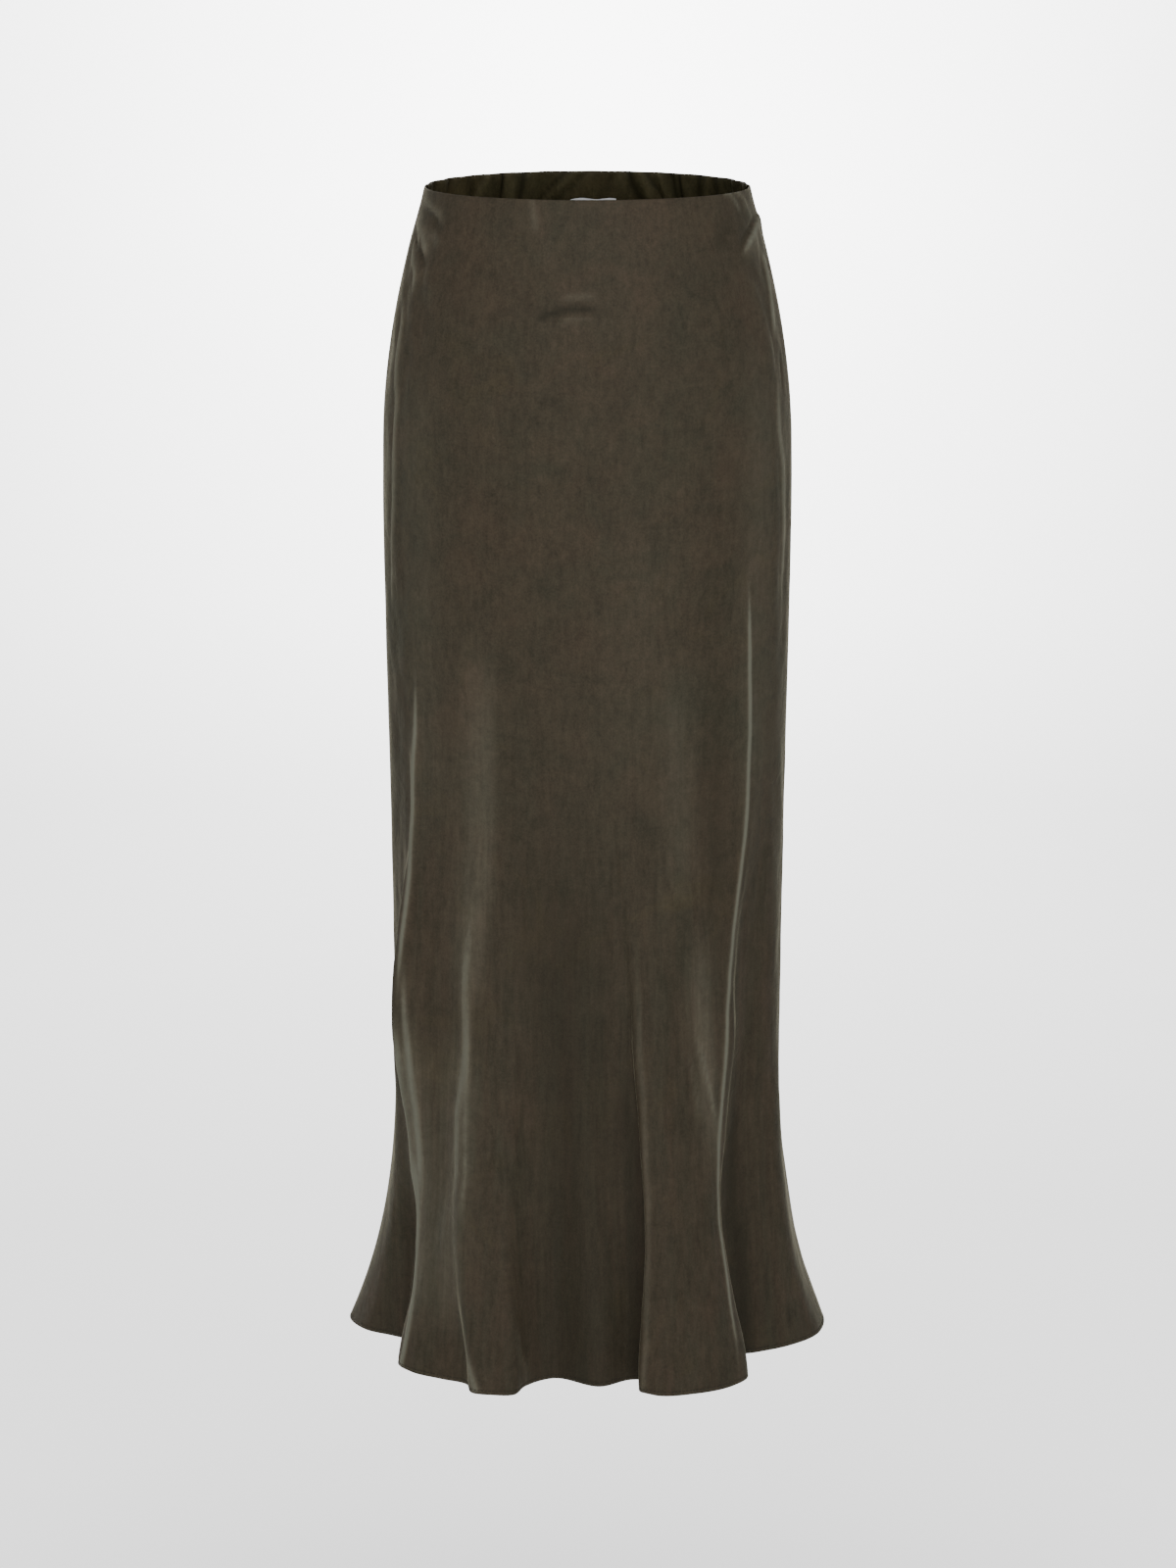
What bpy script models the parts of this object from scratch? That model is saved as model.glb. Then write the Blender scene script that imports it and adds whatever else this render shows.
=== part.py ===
"""Bias-cut maxi slip skirt in its worn, hollow form.

Two flared panels, the elastic casing turned inside at the back waist, and a blank label.
Metres, +Z up. The origin is the middle of the waist opening, the front faces -Y, and the
hem hangs below.

The cloth is one surface read at (along, height): `along` runs round the hem in metres from
the left side seam over the front, and `height` is Z. High up the surface is a smooth body
ring. Below the knee each fold line of FOLDS leads it out to its own place on the hem.
"""
import math
from collections import namedtuple

import bmesh
import bpy
import numpy as np

# Driving dimensions
LENGTH = 0.950            # waist to hem at the sides
HEM = -LENGTH
WAIST_LIFT = 0.0009       # centre front of the waist edge, above the sides
LIFT_REACH = 0.150        # how far below the waist edge that shows
WALL = 0.0015             # cloth with its turnings
SEAM_GAP = 0.0004         # between pieces sewn edge to edge
LAYER_GAP = 0.0007        # between pieces that lie on each other
CASING_DEPTH = 0.024      # elastic tunnel at the back waist
CASING_THICKNESS = 0.0024
LABEL_WIDTH = 0.041
LABEL_TOP = -0.0212
LABEL_LENGTH = 0.020
LABEL_THICKNESS = 0.0010
LABEL_HUMP = 0.0009       # the label's top edge waves twice
LABEL_STAND = 0.0030      # how far the label hangs off the casing

# Gathers that the elastic draws into the back
GATHERS = 12              # folds between the side seams
GATHER_UNEVEN = 7.0       # degrees that their spacing wanders
GATHER_AT_EDGE = 0.0010   # half their depth at the waist edge
GATHER_BELOW = 0.0024     # half their depth just under the casing
GATHER_PEAK = -0.036      # height where they are deepest
GATHER_END = -0.150       # height where they have run out

# Fold lines wander sideways twice on their way down
LEAN_HEIGHT = -0.630
SWAY_HEIGHT = -0.805
WANDER_REACH = 0.150      # how far up and down each shift reaches

# Mesh fineness
FRONT_COLUMN = 0.0122     # column width along the hem, between fold lines
BACK_COLUMN = 0.0104      # finer, for the gathers
LABEL_COLUMNS = 12
LABEL_ROWS = 4
CASING_ROWS = 3
UPPER_STEP = 0.019        # under the casing, where the gathers fade
BODY_STEP = 0.052
LOWER_STEP = 0.034
UPPER_END = -0.100
BODY_END = -0.500

# Body rings, from the waist down: half width, depth in front and behind the middle, and how
# square the ring is (2 is an ellipse)
Ring = namedtuple("Ring", "height half_width front back square")
RINGS = (
    Ring(0.004, 0.1257, 0.0930, 0.0930, 2.05),
    Ring(-0.002, 0.1270, 0.0940, 0.0940, 2.05),
    Ring(-0.050, 0.1400, 0.1025, 0.1050, 2.10),
    Ring(-0.100, 0.1510, 0.1085, 0.1160, 2.15),
    Ring(-0.160, 0.1592, 0.1125, 0.1235, 2.20),
    Ring(-0.225, 0.1616, 0.1140, 0.1260, 2.20),
    Ring(-0.320, 0.1612, 0.1135, 0.1250, 2.20),
    Ring(-0.500, 0.1588, 0.1120, 0.1220, 2.20),
    Ring(-0.700, 0.1573, 0.1130, 0.1215, 2.20),
    Ring(-0.955, 0.1580, 0.1210, 0.1280, 2.20),
)

# Fold lines round the skirt. turn: place on the body ring in degrees (-90 left seam, 0 centre
# front, 90 right seam, 180 centre back). x, y: place on the hem. rise: how far above the hem
# the line starts to leave the body ring. ease: how late it does so. lean, sway: sideways shift
# at LEAN_HEIGHT and SWAY_HEIGHT.
Fold = namedtuple("Fold", "name turn x y rise ease lean sway")
FOLDS = (
    Fold("left seam crest", -90.0, -0.2000, 0.0090, 0.28, 2.9, 0.000, 0.000),
    Fold("left side face", -80.0, -0.1855, -0.0185, 0.29, 2.6, 0.000, 0.000),
    Fold("left side inner", -73.0, -0.1600, -0.0330, 0.36, 1.8, 0.000, 0.000),
    Fold("left hollow", -67.0, -0.1340, -0.0500, 0.52, 1.5, -0.004, 0.002),
    Fold("left hollow front", -62.0, -0.1360, -0.0720, 0.54, 1.4, -0.010, 0.004),
    Fold("left front crest", -57.5, -0.1550, -0.0890, 0.56, 1.3, -0.013, 0.007),
    Fold("left front face", -51.0, -0.1430, -0.1065, 0.50, 1.5, -0.011, 0.005),
    Fold("left front middle", -43.0, -0.1180, -0.1205, 0.44, 1.6, -0.008, -0.003),
    Fold("second fold root", -36.0, -0.0975, -0.1315, 0.46, 1.6, -0.009, -0.012),
    Fold("second fold crest", -30.0, -0.0935, -0.1470, 0.48, 1.6, -0.010, -0.014),
    Fold("second fold face", -25.0, -0.0770, -0.1520, 0.46, 1.6, -0.008, -0.012),
    Fold("second fold end", -20.0, -0.0590, -0.1515, 0.44, 1.6, -0.005, -0.006),
    Fold("centre tuck", -16.0, -0.0500, -0.1345, 0.42, 1.6, -0.002, 0.000),
    Fold("centre hollow", -9.0, -0.0280, -0.1190, 0.42, 1.5, 0.000, 0.000),
    Fold("centre swell", -1.5, 0.0110, -0.1355, 0.40, 1.6, 0.000, 0.002),
    Fold("right fold root", 2.5, 0.0370, -0.1215, 0.46, 1.5, 0.004, 0.006),
    Fold("right fold tuck", 5.5, 0.0520, -0.1230, 0.48, 1.4, 0.006, 0.010),
    Fold("right fold edge", 8.5, 0.0430, -0.1440, 0.50, 1.4, 0.008, 0.011),
    Fold("right fold crest", 13.0, 0.0540, -0.1525, 0.50, 1.5, 0.006, 0.009),
    Fold("right fold face", 27.0, 0.0870, -0.1495, 0.46, 1.6, 0.000, -0.002),
    Fold("right fold far face", 41.0, 0.1170, -0.1345, 0.48, 1.5, -0.008, -0.013),
    Fold("right front crest", 50.5, 0.1305, -0.1165, 0.52, 1.3, -0.011, -0.021),
    Fold("right hollow front", 57.5, 0.1190, -0.0920, 0.54, 1.3, -0.010, -0.017),
    Fold("right hollow", 63.0, 0.1160, -0.0760, 0.54, 1.4, -0.006, -0.010),
    Fold("right hollow side", 69.0, 0.1390, -0.0665, 0.44, 1.6, -0.002, -0.004),
    Fold("right side inner", 76.0, 0.1660, -0.0530, 0.36, 1.9, 0.000, 0.000),
    Fold("right side face", 83.0, 0.1890, -0.0320, 0.30, 2.7, 0.000, 0.000),
    Fold("right seam crest", 90.0, 0.1985, -0.0050, 0.29, 3.1, 0.000, 0.000),
    Fold("right side back", 97.0, 0.1960, 0.0230, 0.30, 2.7, 0.000, 0.000),
    Fold("right back inner", 104.0, 0.1740, 0.0480, 0.36, 1.8, 0.000, 0.000),
    Fold("right back hollow", 111.0, 0.1500, 0.0610, 0.48, 1.5, -0.003, -0.003),
    Fold("right back root", 117.0, 0.1430, 0.0790, 0.50, 1.4, -0.004, -0.004),
    Fold("right back crest", 123.0, 0.1540, 0.0960, 0.52, 1.4, -0.004, 0.000),
    Fold("right back face", 130.0, 0.1420, 0.1170, 0.48, 1.5, 0.000, 0.004),
    Fold("right back slope", 138.0, 0.1150, 0.1290, 0.44, 1.6, 0.004, 0.008),
    Fold("right seat hollow", 146.0, 0.0900, 0.1190, 0.44, 1.5, 0.006, 0.006),
    Fold("right seat root", 152.0, 0.0740, 0.1260, 0.46, 1.5, 0.006, 0.006),
    Fold("right seat crest", 158.0, 0.0650, 0.1450, 0.48, 1.5, 0.006, 0.008),
    Fold("right seat face", 166.0, 0.0390, 0.1540, 0.44, 1.6, 0.003, 0.006),
    Fold("back hollow edge", 173.0, 0.0130, 0.1390, 0.42, 1.6, 0.000, 0.002),
    Fold("back hollow", 180.0, -0.0110, 0.1270, 0.44, 1.5, 0.000, 0.000),
    Fold("left seat root", 187.0, -0.0290, 0.1370, 0.46, 1.5, -0.004, -0.004),
    Fold("left seat crest", 193.0, -0.0420, 0.1530, 0.48, 1.5, -0.006, -0.008),
    Fold("left seat face", 201.0, -0.0700, 0.1520, 0.46, 1.6, -0.004, -0.006),
    Fold("left seat slope", 208.0, -0.0860, 0.1340, 0.44, 1.6, 0.000, 0.000),
    Fold("left back hollow", 216.0, -0.1040, 0.1150, 0.46, 1.5, 0.004, 0.006),
    Fold("left back root", 224.0, -0.1280, 0.1230, 0.48, 1.5, 0.006, 0.008),
    Fold("left back crest", 232.0, -0.1500, 0.1090, 0.52, 1.4, 0.004, 0.006),
    Fold("left back face", 239.0, -0.1500, 0.0850, 0.50, 1.4, 0.002, 0.004),
    Fold("left back tuck", 246.0, -0.1450, 0.0640, 0.48, 1.5, 0.000, 0.002),
    Fold("left back inner", 254.0, -0.1670, 0.0500, 0.36, 1.8, 0.000, 0.000),
    Fold("left side back", 262.0, -0.1925, 0.0330, 0.29, 2.6, 0.000, 0.000),
)

Finish = namedtuple("Finish", "color roughness metallic")
SATIN = Finish((0.054, 0.044, 0.030, 1.0), 0.50, 0.0)
SATIN_INSIDE = Finish((0.040, 0.034, 0.018, 1.0), 0.60, 0.0)
LABEL_TAPE = Finish((0.80, 0.80, 0.84, 1.0), 0.65, 0.0)


def smooth_between(knots, values, at):
    """Read a smooth curve through (knots, values) at the places `at`."""
    knots = np.asarray(knots, float)
    values = np.asarray(values, float)
    slopes = np.gradient(values, knots)
    span = np.clip(np.searchsorted(knots, at, side="right") - 1, 0, len(knots) - 2)
    width = knots[span + 1] - knots[span]
    t = (at - knots[span]) / width
    start = (1 + 2 * t) * (1 - t) ** 2 * values[span] + t * (1 - t) ** 2 * width * slopes[span]
    end = t * t * (3 - 2 * t) * values[span + 1] + t * t * (t - 1) * width * slopes[span + 1]
    return start + end


def hem_places():
    """Return the distance of each fold line along the hem, and the whole way round."""
    places = [0.0]
    for line, after in zip(FOLDS, FOLDS[1:] + FOLDS[:1]):
        places.append(places[-1] + math.hypot(after.x - line.x, after.y - line.y))
    return places[:-1], places[-1]


PLACES, HEM_ROUND = hem_places()
LEFT_SEAM = PLACES[0]
RIGHT_SEAM = PLACES[[line.name for line in FOLDS].index("right seam crest")]


def fold_value(column, along):
    """Read one column of FOLDS at `along`, closed round the hem."""
    values = [getattr(line, column) for line in FOLDS]
    lap = 360.0 if column == "turn" else 0.0
    knots = [place + HEM_ROUND * lap_number for lap_number in (-1, 0, 1) for place in PLACES]
    laps = [value + lap * lap_number for lap_number in (-1, 0, 1) for value in values]
    return smooth_between(knots, laps, along)


def body_ring(turn, height):
    """Return x, y of the smooth body ring at a turn in degrees and a height."""
    heights = [ring.height for ring in reversed(RINGS)]

    def ring_value(column):
        return smooth_between(heights, [getattr(ring, column) for ring in reversed(RINGS)], height)

    side, ahead = np.sin(np.radians(turn)), np.cos(np.radians(turn))
    power = 2.0 / ring_value("square")
    depth = np.where(ahead > 0, ring_value("front"), ring_value("back"))
    x = ring_value("half_width") * np.sign(side) * np.abs(side) ** power
    y = -depth * np.sign(ahead) * np.abs(ahead) ** power
    return x, y


def gather(turn, height):
    """Return how far the back's gathers push the cloth outwards."""
    across = np.clip((turn - 90.0) / 180.0, 0.0, 1.0)
    wander = GATHER_UNEVEN / 180.0 * (np.sin(5.0 * math.pi * across) + 0.6 * np.sin(11.0 * across))
    wave = np.cos(2.0 * math.pi * GATHERS * (across + wander * across * (1.0 - across) * 2.0))
    fade_in = np.clip(height / GATHER_PEAK, 0.0, 1.0)
    fade_out = np.clip((height - GATHER_END) / (GATHER_PEAK - GATHER_END), 0.0, 1.0) ** 1.5
    depth = (GATHER_AT_EDGE + (GATHER_BELOW - GATHER_AT_EDGE) * fade_in) * fade_out
    at_seams = np.clip(np.sin(math.pi * across) * 4.0, 0.0, 1.0)
    return depth * at_seams * (wave - 0.4 * np.cos(7.0 * across) * wave ** 2)


def wander(height, middle):
    """Return 1 at the middle of a sideways shift, and 0 past its reach."""
    return np.clip(1.0 - ((height - middle) / WANDER_REACH) ** 2, 0.0, 1.0) ** 2


def cloth_place(along, height, gathered=True):
    """Return the points of the cloth's middle surface."""
    turn = fold_value("turn", along)
    turn_round = np.where(turn < -90.0, turn + 360.0, turn)
    body_x, body_y = body_ring(turn, height)
    hem_x, hem_y = body_ring(turn, HEM)
    above_hem = (height - HEM) / fold_value("rise", along)
    grown = np.clip(1.0 - above_hem, 0.0, 1.0) ** fold_value("ease", along)
    lean = fold_value("lean", along) * wander(height, LEAN_HEIGHT)
    sway = fold_value("sway", along) * wander(height, SWAY_HEIGHT)
    x = body_x + grown * (fold_value("x", along) - hem_x) + lean + sway
    y = body_y + grown * (fold_value("y", along) - hem_y)
    out = gather(turn_round, height) if gathered else 0.0
    reach = np.hypot(body_x, body_y)
    x = x + out * body_x / reach
    y = y + out * body_y / reach
    lift_fade = np.clip(1.0 + height / LIFT_REACH, 0.0, 1.0)
    lift = WAIST_LIFT * np.clip(np.cos(np.radians(turn)), 0.0, 1.0) * lift_fade
    return np.stack([x, y, height + lift], axis=-1)


def cloth_point(along, height, inward=0.0, gathered=True):
    """Return the points that lie `inward` of the cloth's middle surface."""
    step = 0.0005
    along, height = np.broadcast_arrays(np.asarray(along, float), np.asarray(height, float))
    here = cloth_place(along, height, gathered)
    round_hem = cloth_place(along + step, height, gathered) - cloth_place(along - step, height, gathered)
    up = cloth_place(along, height + step, gathered) - cloth_place(along, height - step, gathered)
    normal = np.cross(round_hem, up)
    normal /= np.linalg.norm(normal, axis=-1, keepdims=True)
    return here - inward * normal


def column_places(start, end, column_width):
    """Return places along the hem: every fold line between two places, and even steps between."""
    lines = [start] + [place for place in PLACES if start + 0.001 < place < end - 0.001] + [end]
    columns = [start]
    for left, right in zip(lines, lines[1:]):
        steps = max(1, round((right - left) / column_width))
        columns += [left + (right - left) * (step + 1) / steps for step in range(steps)]
    return np.array(columns)


def row_heights():
    """Return the heights of the panels' rows, from the waist edge down to the hem."""
    stretches = (
        (0.0, -CASING_DEPTH, CASING_ROWS),
        (-CASING_DEPTH, UPPER_END, round((-CASING_DEPTH - UPPER_END) / UPPER_STEP)),
        (UPPER_END, BODY_END, round((UPPER_END - BODY_END) / BODY_STEP)),
        (BODY_END, HEM, round((BODY_END - HEM) / LOWER_STEP)),
    )
    rows = [0.0]
    for top, bottom, steps in stretches:
        rows += [top + (bottom - top) * (step + 1) / steps for step in range(steps)]
    return np.array(rows)


def make_material(name, finish):
    """Return a Principled material."""
    material = bpy.data.materials.new(name)
    material.use_nodes = True
    shader = material.node_tree.nodes["Principled BSDF"]
    shader.inputs["Base Color"].default_value = finish.color
    shader.inputs["Roughness"].default_value = finish.roughness
    shader.inputs["Metallic"].default_value = finish.metallic
    return material


def make_cloth(name, points, thickness, material):
    """Make a closed wall from a grid of points, rows from top to bottom, columns to the right."""
    rows, columns = points.shape[:2]
    mesh = bpy.data.meshes.new(name)
    bm = bmesh.new()
    bmesh.ops.create_grid(bm, x_segments=columns - 1, y_segments=rows - 1, size=1.0)
    for vert in bm.verts:
        column = round((vert.co.x + 1.0) / 2.0 * (columns - 1))
        row = round((1.0 - vert.co.y) / 2.0 * (rows - 1))
        vert.co = points[row, column]
    bm.normal_update()
    bm.to_mesh(mesh)
    bm.free()
    mesh.shade_smooth()
    mesh.materials.append(material)
    cloth = bpy.data.objects.new(name, mesh)
    bpy.context.collection.objects.link(cloth)
    wall = cloth.modifiers.new("wall", "SOLIDIFY")
    wall.thickness = thickness
    wall.offset = 0.0
    return cloth


def make_panel(name, start, end, column_width, material):
    """Make one panel between two side seams."""
    columns = column_places(start, end, column_width)
    heights = row_heights()
    points = cloth_point(columns[None, :], heights[:, None])
    inward = points[:, 1] - points[:, 0]
    points[:, 0] += inward / np.linalg.norm(inward, axis=-1, keepdims=True) * SEAM_GAP / 2
    inward = points[:, -2] - points[:, -1]
    points[:, -1] += inward / np.linalg.norm(inward, axis=-1, keepdims=True) * SEAM_GAP / 2
    return make_cloth(name, points, WALL, material)


def make_casing(material):
    """Make the elastic casing, which lies on the inside of the back panel's top."""
    columns = column_places(RIGHT_SEAM, HEM_ROUND, BACK_COLUMN)[1:-1]
    heights = row_heights()[:CASING_ROWS + 1]
    inward = WALL / 2 + LAYER_GAP + CASING_THICKNESS / 2
    points = cloth_point(columns[None, :], heights[:, None], inward)
    return make_cloth("back_waist_casing", points, CASING_THICKNESS, material)


def make_label(material):
    """Make the blank folded label that hangs inside the centre back, with a waved top edge."""
    inward = WALL / 2 + LAYER_GAP + CASING_THICKNESS + LABEL_STAND
    middle = smooth_between([line.turn for line in FOLDS], PLACES, 180.0)
    trial = 0.01
    ends = cloth_point(np.array([middle - trial, middle + trial]), LABEL_TOP, inward, gathered=False)
    half = trial * LABEL_WIDTH / np.linalg.norm(ends[1] - ends[0])
    across = np.linspace(-1.0, 1.0, LABEL_COLUMNS + 1)
    down = np.linspace(0.0, 1.0, LABEL_ROWS + 1)
    hump = LABEL_HUMP * np.cos(2.0 * math.pi * across[None, :] + 0.6) * (1.0 - down[:, None])
    heights = LABEL_TOP + hump - LABEL_LENGTH * down[:, None]
    points = cloth_point(middle + half * across[None, :], heights, inward, gathered=False)
    return make_cloth("label", points, LABEL_THICKNESS, material)


def main():
    """Build the skirt."""
    for old in list(bpy.data.objects):
        bpy.data.objects.remove(old)
    satin = make_material("satin", SATIN)
    inside = make_material("satin_inside", SATIN_INSIDE)
    tape = make_material("label_tape", LABEL_TAPE)
    make_panel("front_panel", LEFT_SEAM, RIGHT_SEAM, FRONT_COLUMN, satin)
    make_panel("back_panel", RIGHT_SEAM, HEM_ROUND, BACK_COLUMN, satin)
    make_casing(inside)
    make_label(tape)


main()
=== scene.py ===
"""Looks of a bias-cut satin slip skirt in its worn, hollow form.

The two panels, the elastic casing, the blank label and their sewing are modelled as thin
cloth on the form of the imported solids, in metres in the same frame: the origin is the
middle of the waist opening, the front faces -Y and +Z is up.

A turn is an angle round the waist in degrees: -90 at the left seam, 0 at the centre front,
90 at the right seam and 180 at the centre back. Along is the way round the hem in metres,
from the left seam over the front.
"""
import logging
import math
from dataclasses import dataclass, field
from enum import Enum
from typing import Any, Optional, Sequence, Union

import bmesh
import bpy
import numpy as np
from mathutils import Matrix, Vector


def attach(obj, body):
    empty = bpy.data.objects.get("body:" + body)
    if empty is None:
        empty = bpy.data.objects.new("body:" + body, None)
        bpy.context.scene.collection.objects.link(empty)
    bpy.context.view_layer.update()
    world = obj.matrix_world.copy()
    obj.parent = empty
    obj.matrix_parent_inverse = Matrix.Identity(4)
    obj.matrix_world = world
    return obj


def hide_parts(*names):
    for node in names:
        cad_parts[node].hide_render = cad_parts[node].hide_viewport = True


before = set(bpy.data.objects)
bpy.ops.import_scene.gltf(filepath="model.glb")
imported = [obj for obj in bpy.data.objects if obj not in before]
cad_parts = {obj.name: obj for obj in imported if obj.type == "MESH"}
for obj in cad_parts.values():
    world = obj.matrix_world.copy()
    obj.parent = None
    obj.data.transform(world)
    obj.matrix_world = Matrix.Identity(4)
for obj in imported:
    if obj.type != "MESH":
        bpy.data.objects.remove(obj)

LOG = logging.getLogger("slip_skirt")
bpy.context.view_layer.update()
ROOT = "root"
FINE_STEPS = 4000
GATHER_TOP = -0.004
GATHER_LOPSIDED = 1.2


# ---------------------------------------------------------------- tables of the form

@dataclass(frozen=True)
class Ring:
    """A level of the smooth body under the cloth; square is 2 on an ellipse."""

    height: float
    half_width: float
    front: float
    back: float
    square: float


@dataclass(frozen=True)
class Fold:
    """A line down the cloth that leaves the body ring and ends at its own place on the hem.

    turn is where it starts, and x and y are its place on the hem. rise is how far above the
    hem it leaves the ring, and ease is how late most of that comes. lean and sway shift it
    sideways, round the knee and below it.
    """

    name: str
    turn: float
    x: float
    y: float
    rise: float
    ease: float
    lean: float
    sway: float


class Ends(Enum):
    """Which ends of a crease fade out."""

    BOTH = "both"
    START = "start"
    FINISH = "finish"


@dataclass(frozen=True)
class Crease:
    """A soft ridge (or, with a negative depth, a trough) along a path on the cloth.

    The path holds (turn in degrees, height in metres). left and right are how far each flank
    reaches, seen from outside while following the path. painted_light is how much highlight is
    painted along it; below zero it is painted shade. fade is the share of its run over which an
    end fades out.
    """

    name: str
    path: tuple[tuple[float, float], ...]
    depth: float
    left: float
    right: float
    painted_light: float = 0.0
    ends: Ends = Ends.BOTH
    fade: float = 0.35


@dataclass(frozen=True)
class Gather:
    """A small gather or dip under the back's elastic; end is its turn at the lower end."""

    turn: float
    end: float
    length: float
    depth: float
    reach: float
    # painted highlight along a gather; below zero, painted shade in a dip
    painted_light: float

    def crease(self) -> Crease:
        """Turn the gather into a crease that starts full at the waist edge.

        Returns:
            The crease.
        """
        middle = ((self.turn + self.end) / 2, -self.length / 2)
        path = ((self.turn, GATHER_TOP), middle, (self.end, -self.length))
        return Crease(f"back gather {self.turn}", path, self.depth, self.reach,
                      self.reach * GATHER_LOPSIDED, self.painted_light, Ends.FINISH)


@dataclass(frozen=True)
class CasingFold:
    """A fold of the casing: its turn at half depth, its lean in degrees per metre of height,
    its reach in degrees, its depth in metres and its painted light: painted highlight above
    zero, painted shade below."""

    turn: float
    lean: float
    reach: float
    depth: float
    painted_light: float


@dataclass(frozen=True)
class Crowding:
    """A place where columns or rows of points stand closer together than elsewhere."""

    middle: float
    reach: float
    closer: float


RINGS = (
    Ring(0.004, 0.1257, 0.0930, 0.0930, 2.05),
    Ring(-0.002, 0.1270, 0.0940, 0.0940, 2.05),
    Ring(-0.050, 0.1400, 0.1025, 0.1050, 2.10),
    Ring(-0.100, 0.1510, 0.1085, 0.1160, 2.15),
    Ring(-0.160, 0.1592, 0.1125, 0.1235, 2.20),
    Ring(-0.225, 0.1616, 0.1140, 0.1260, 2.20),
    Ring(-0.320, 0.1612, 0.1135, 0.1250, 2.20),
    Ring(-0.500, 0.1588, 0.1120, 0.1220, 2.20),
    Ring(-0.700, 0.1573, 0.1130, 0.1215, 2.20),
    Ring(-0.955, 0.1580, 0.1210, 0.1280, 2.20),
)

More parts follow.
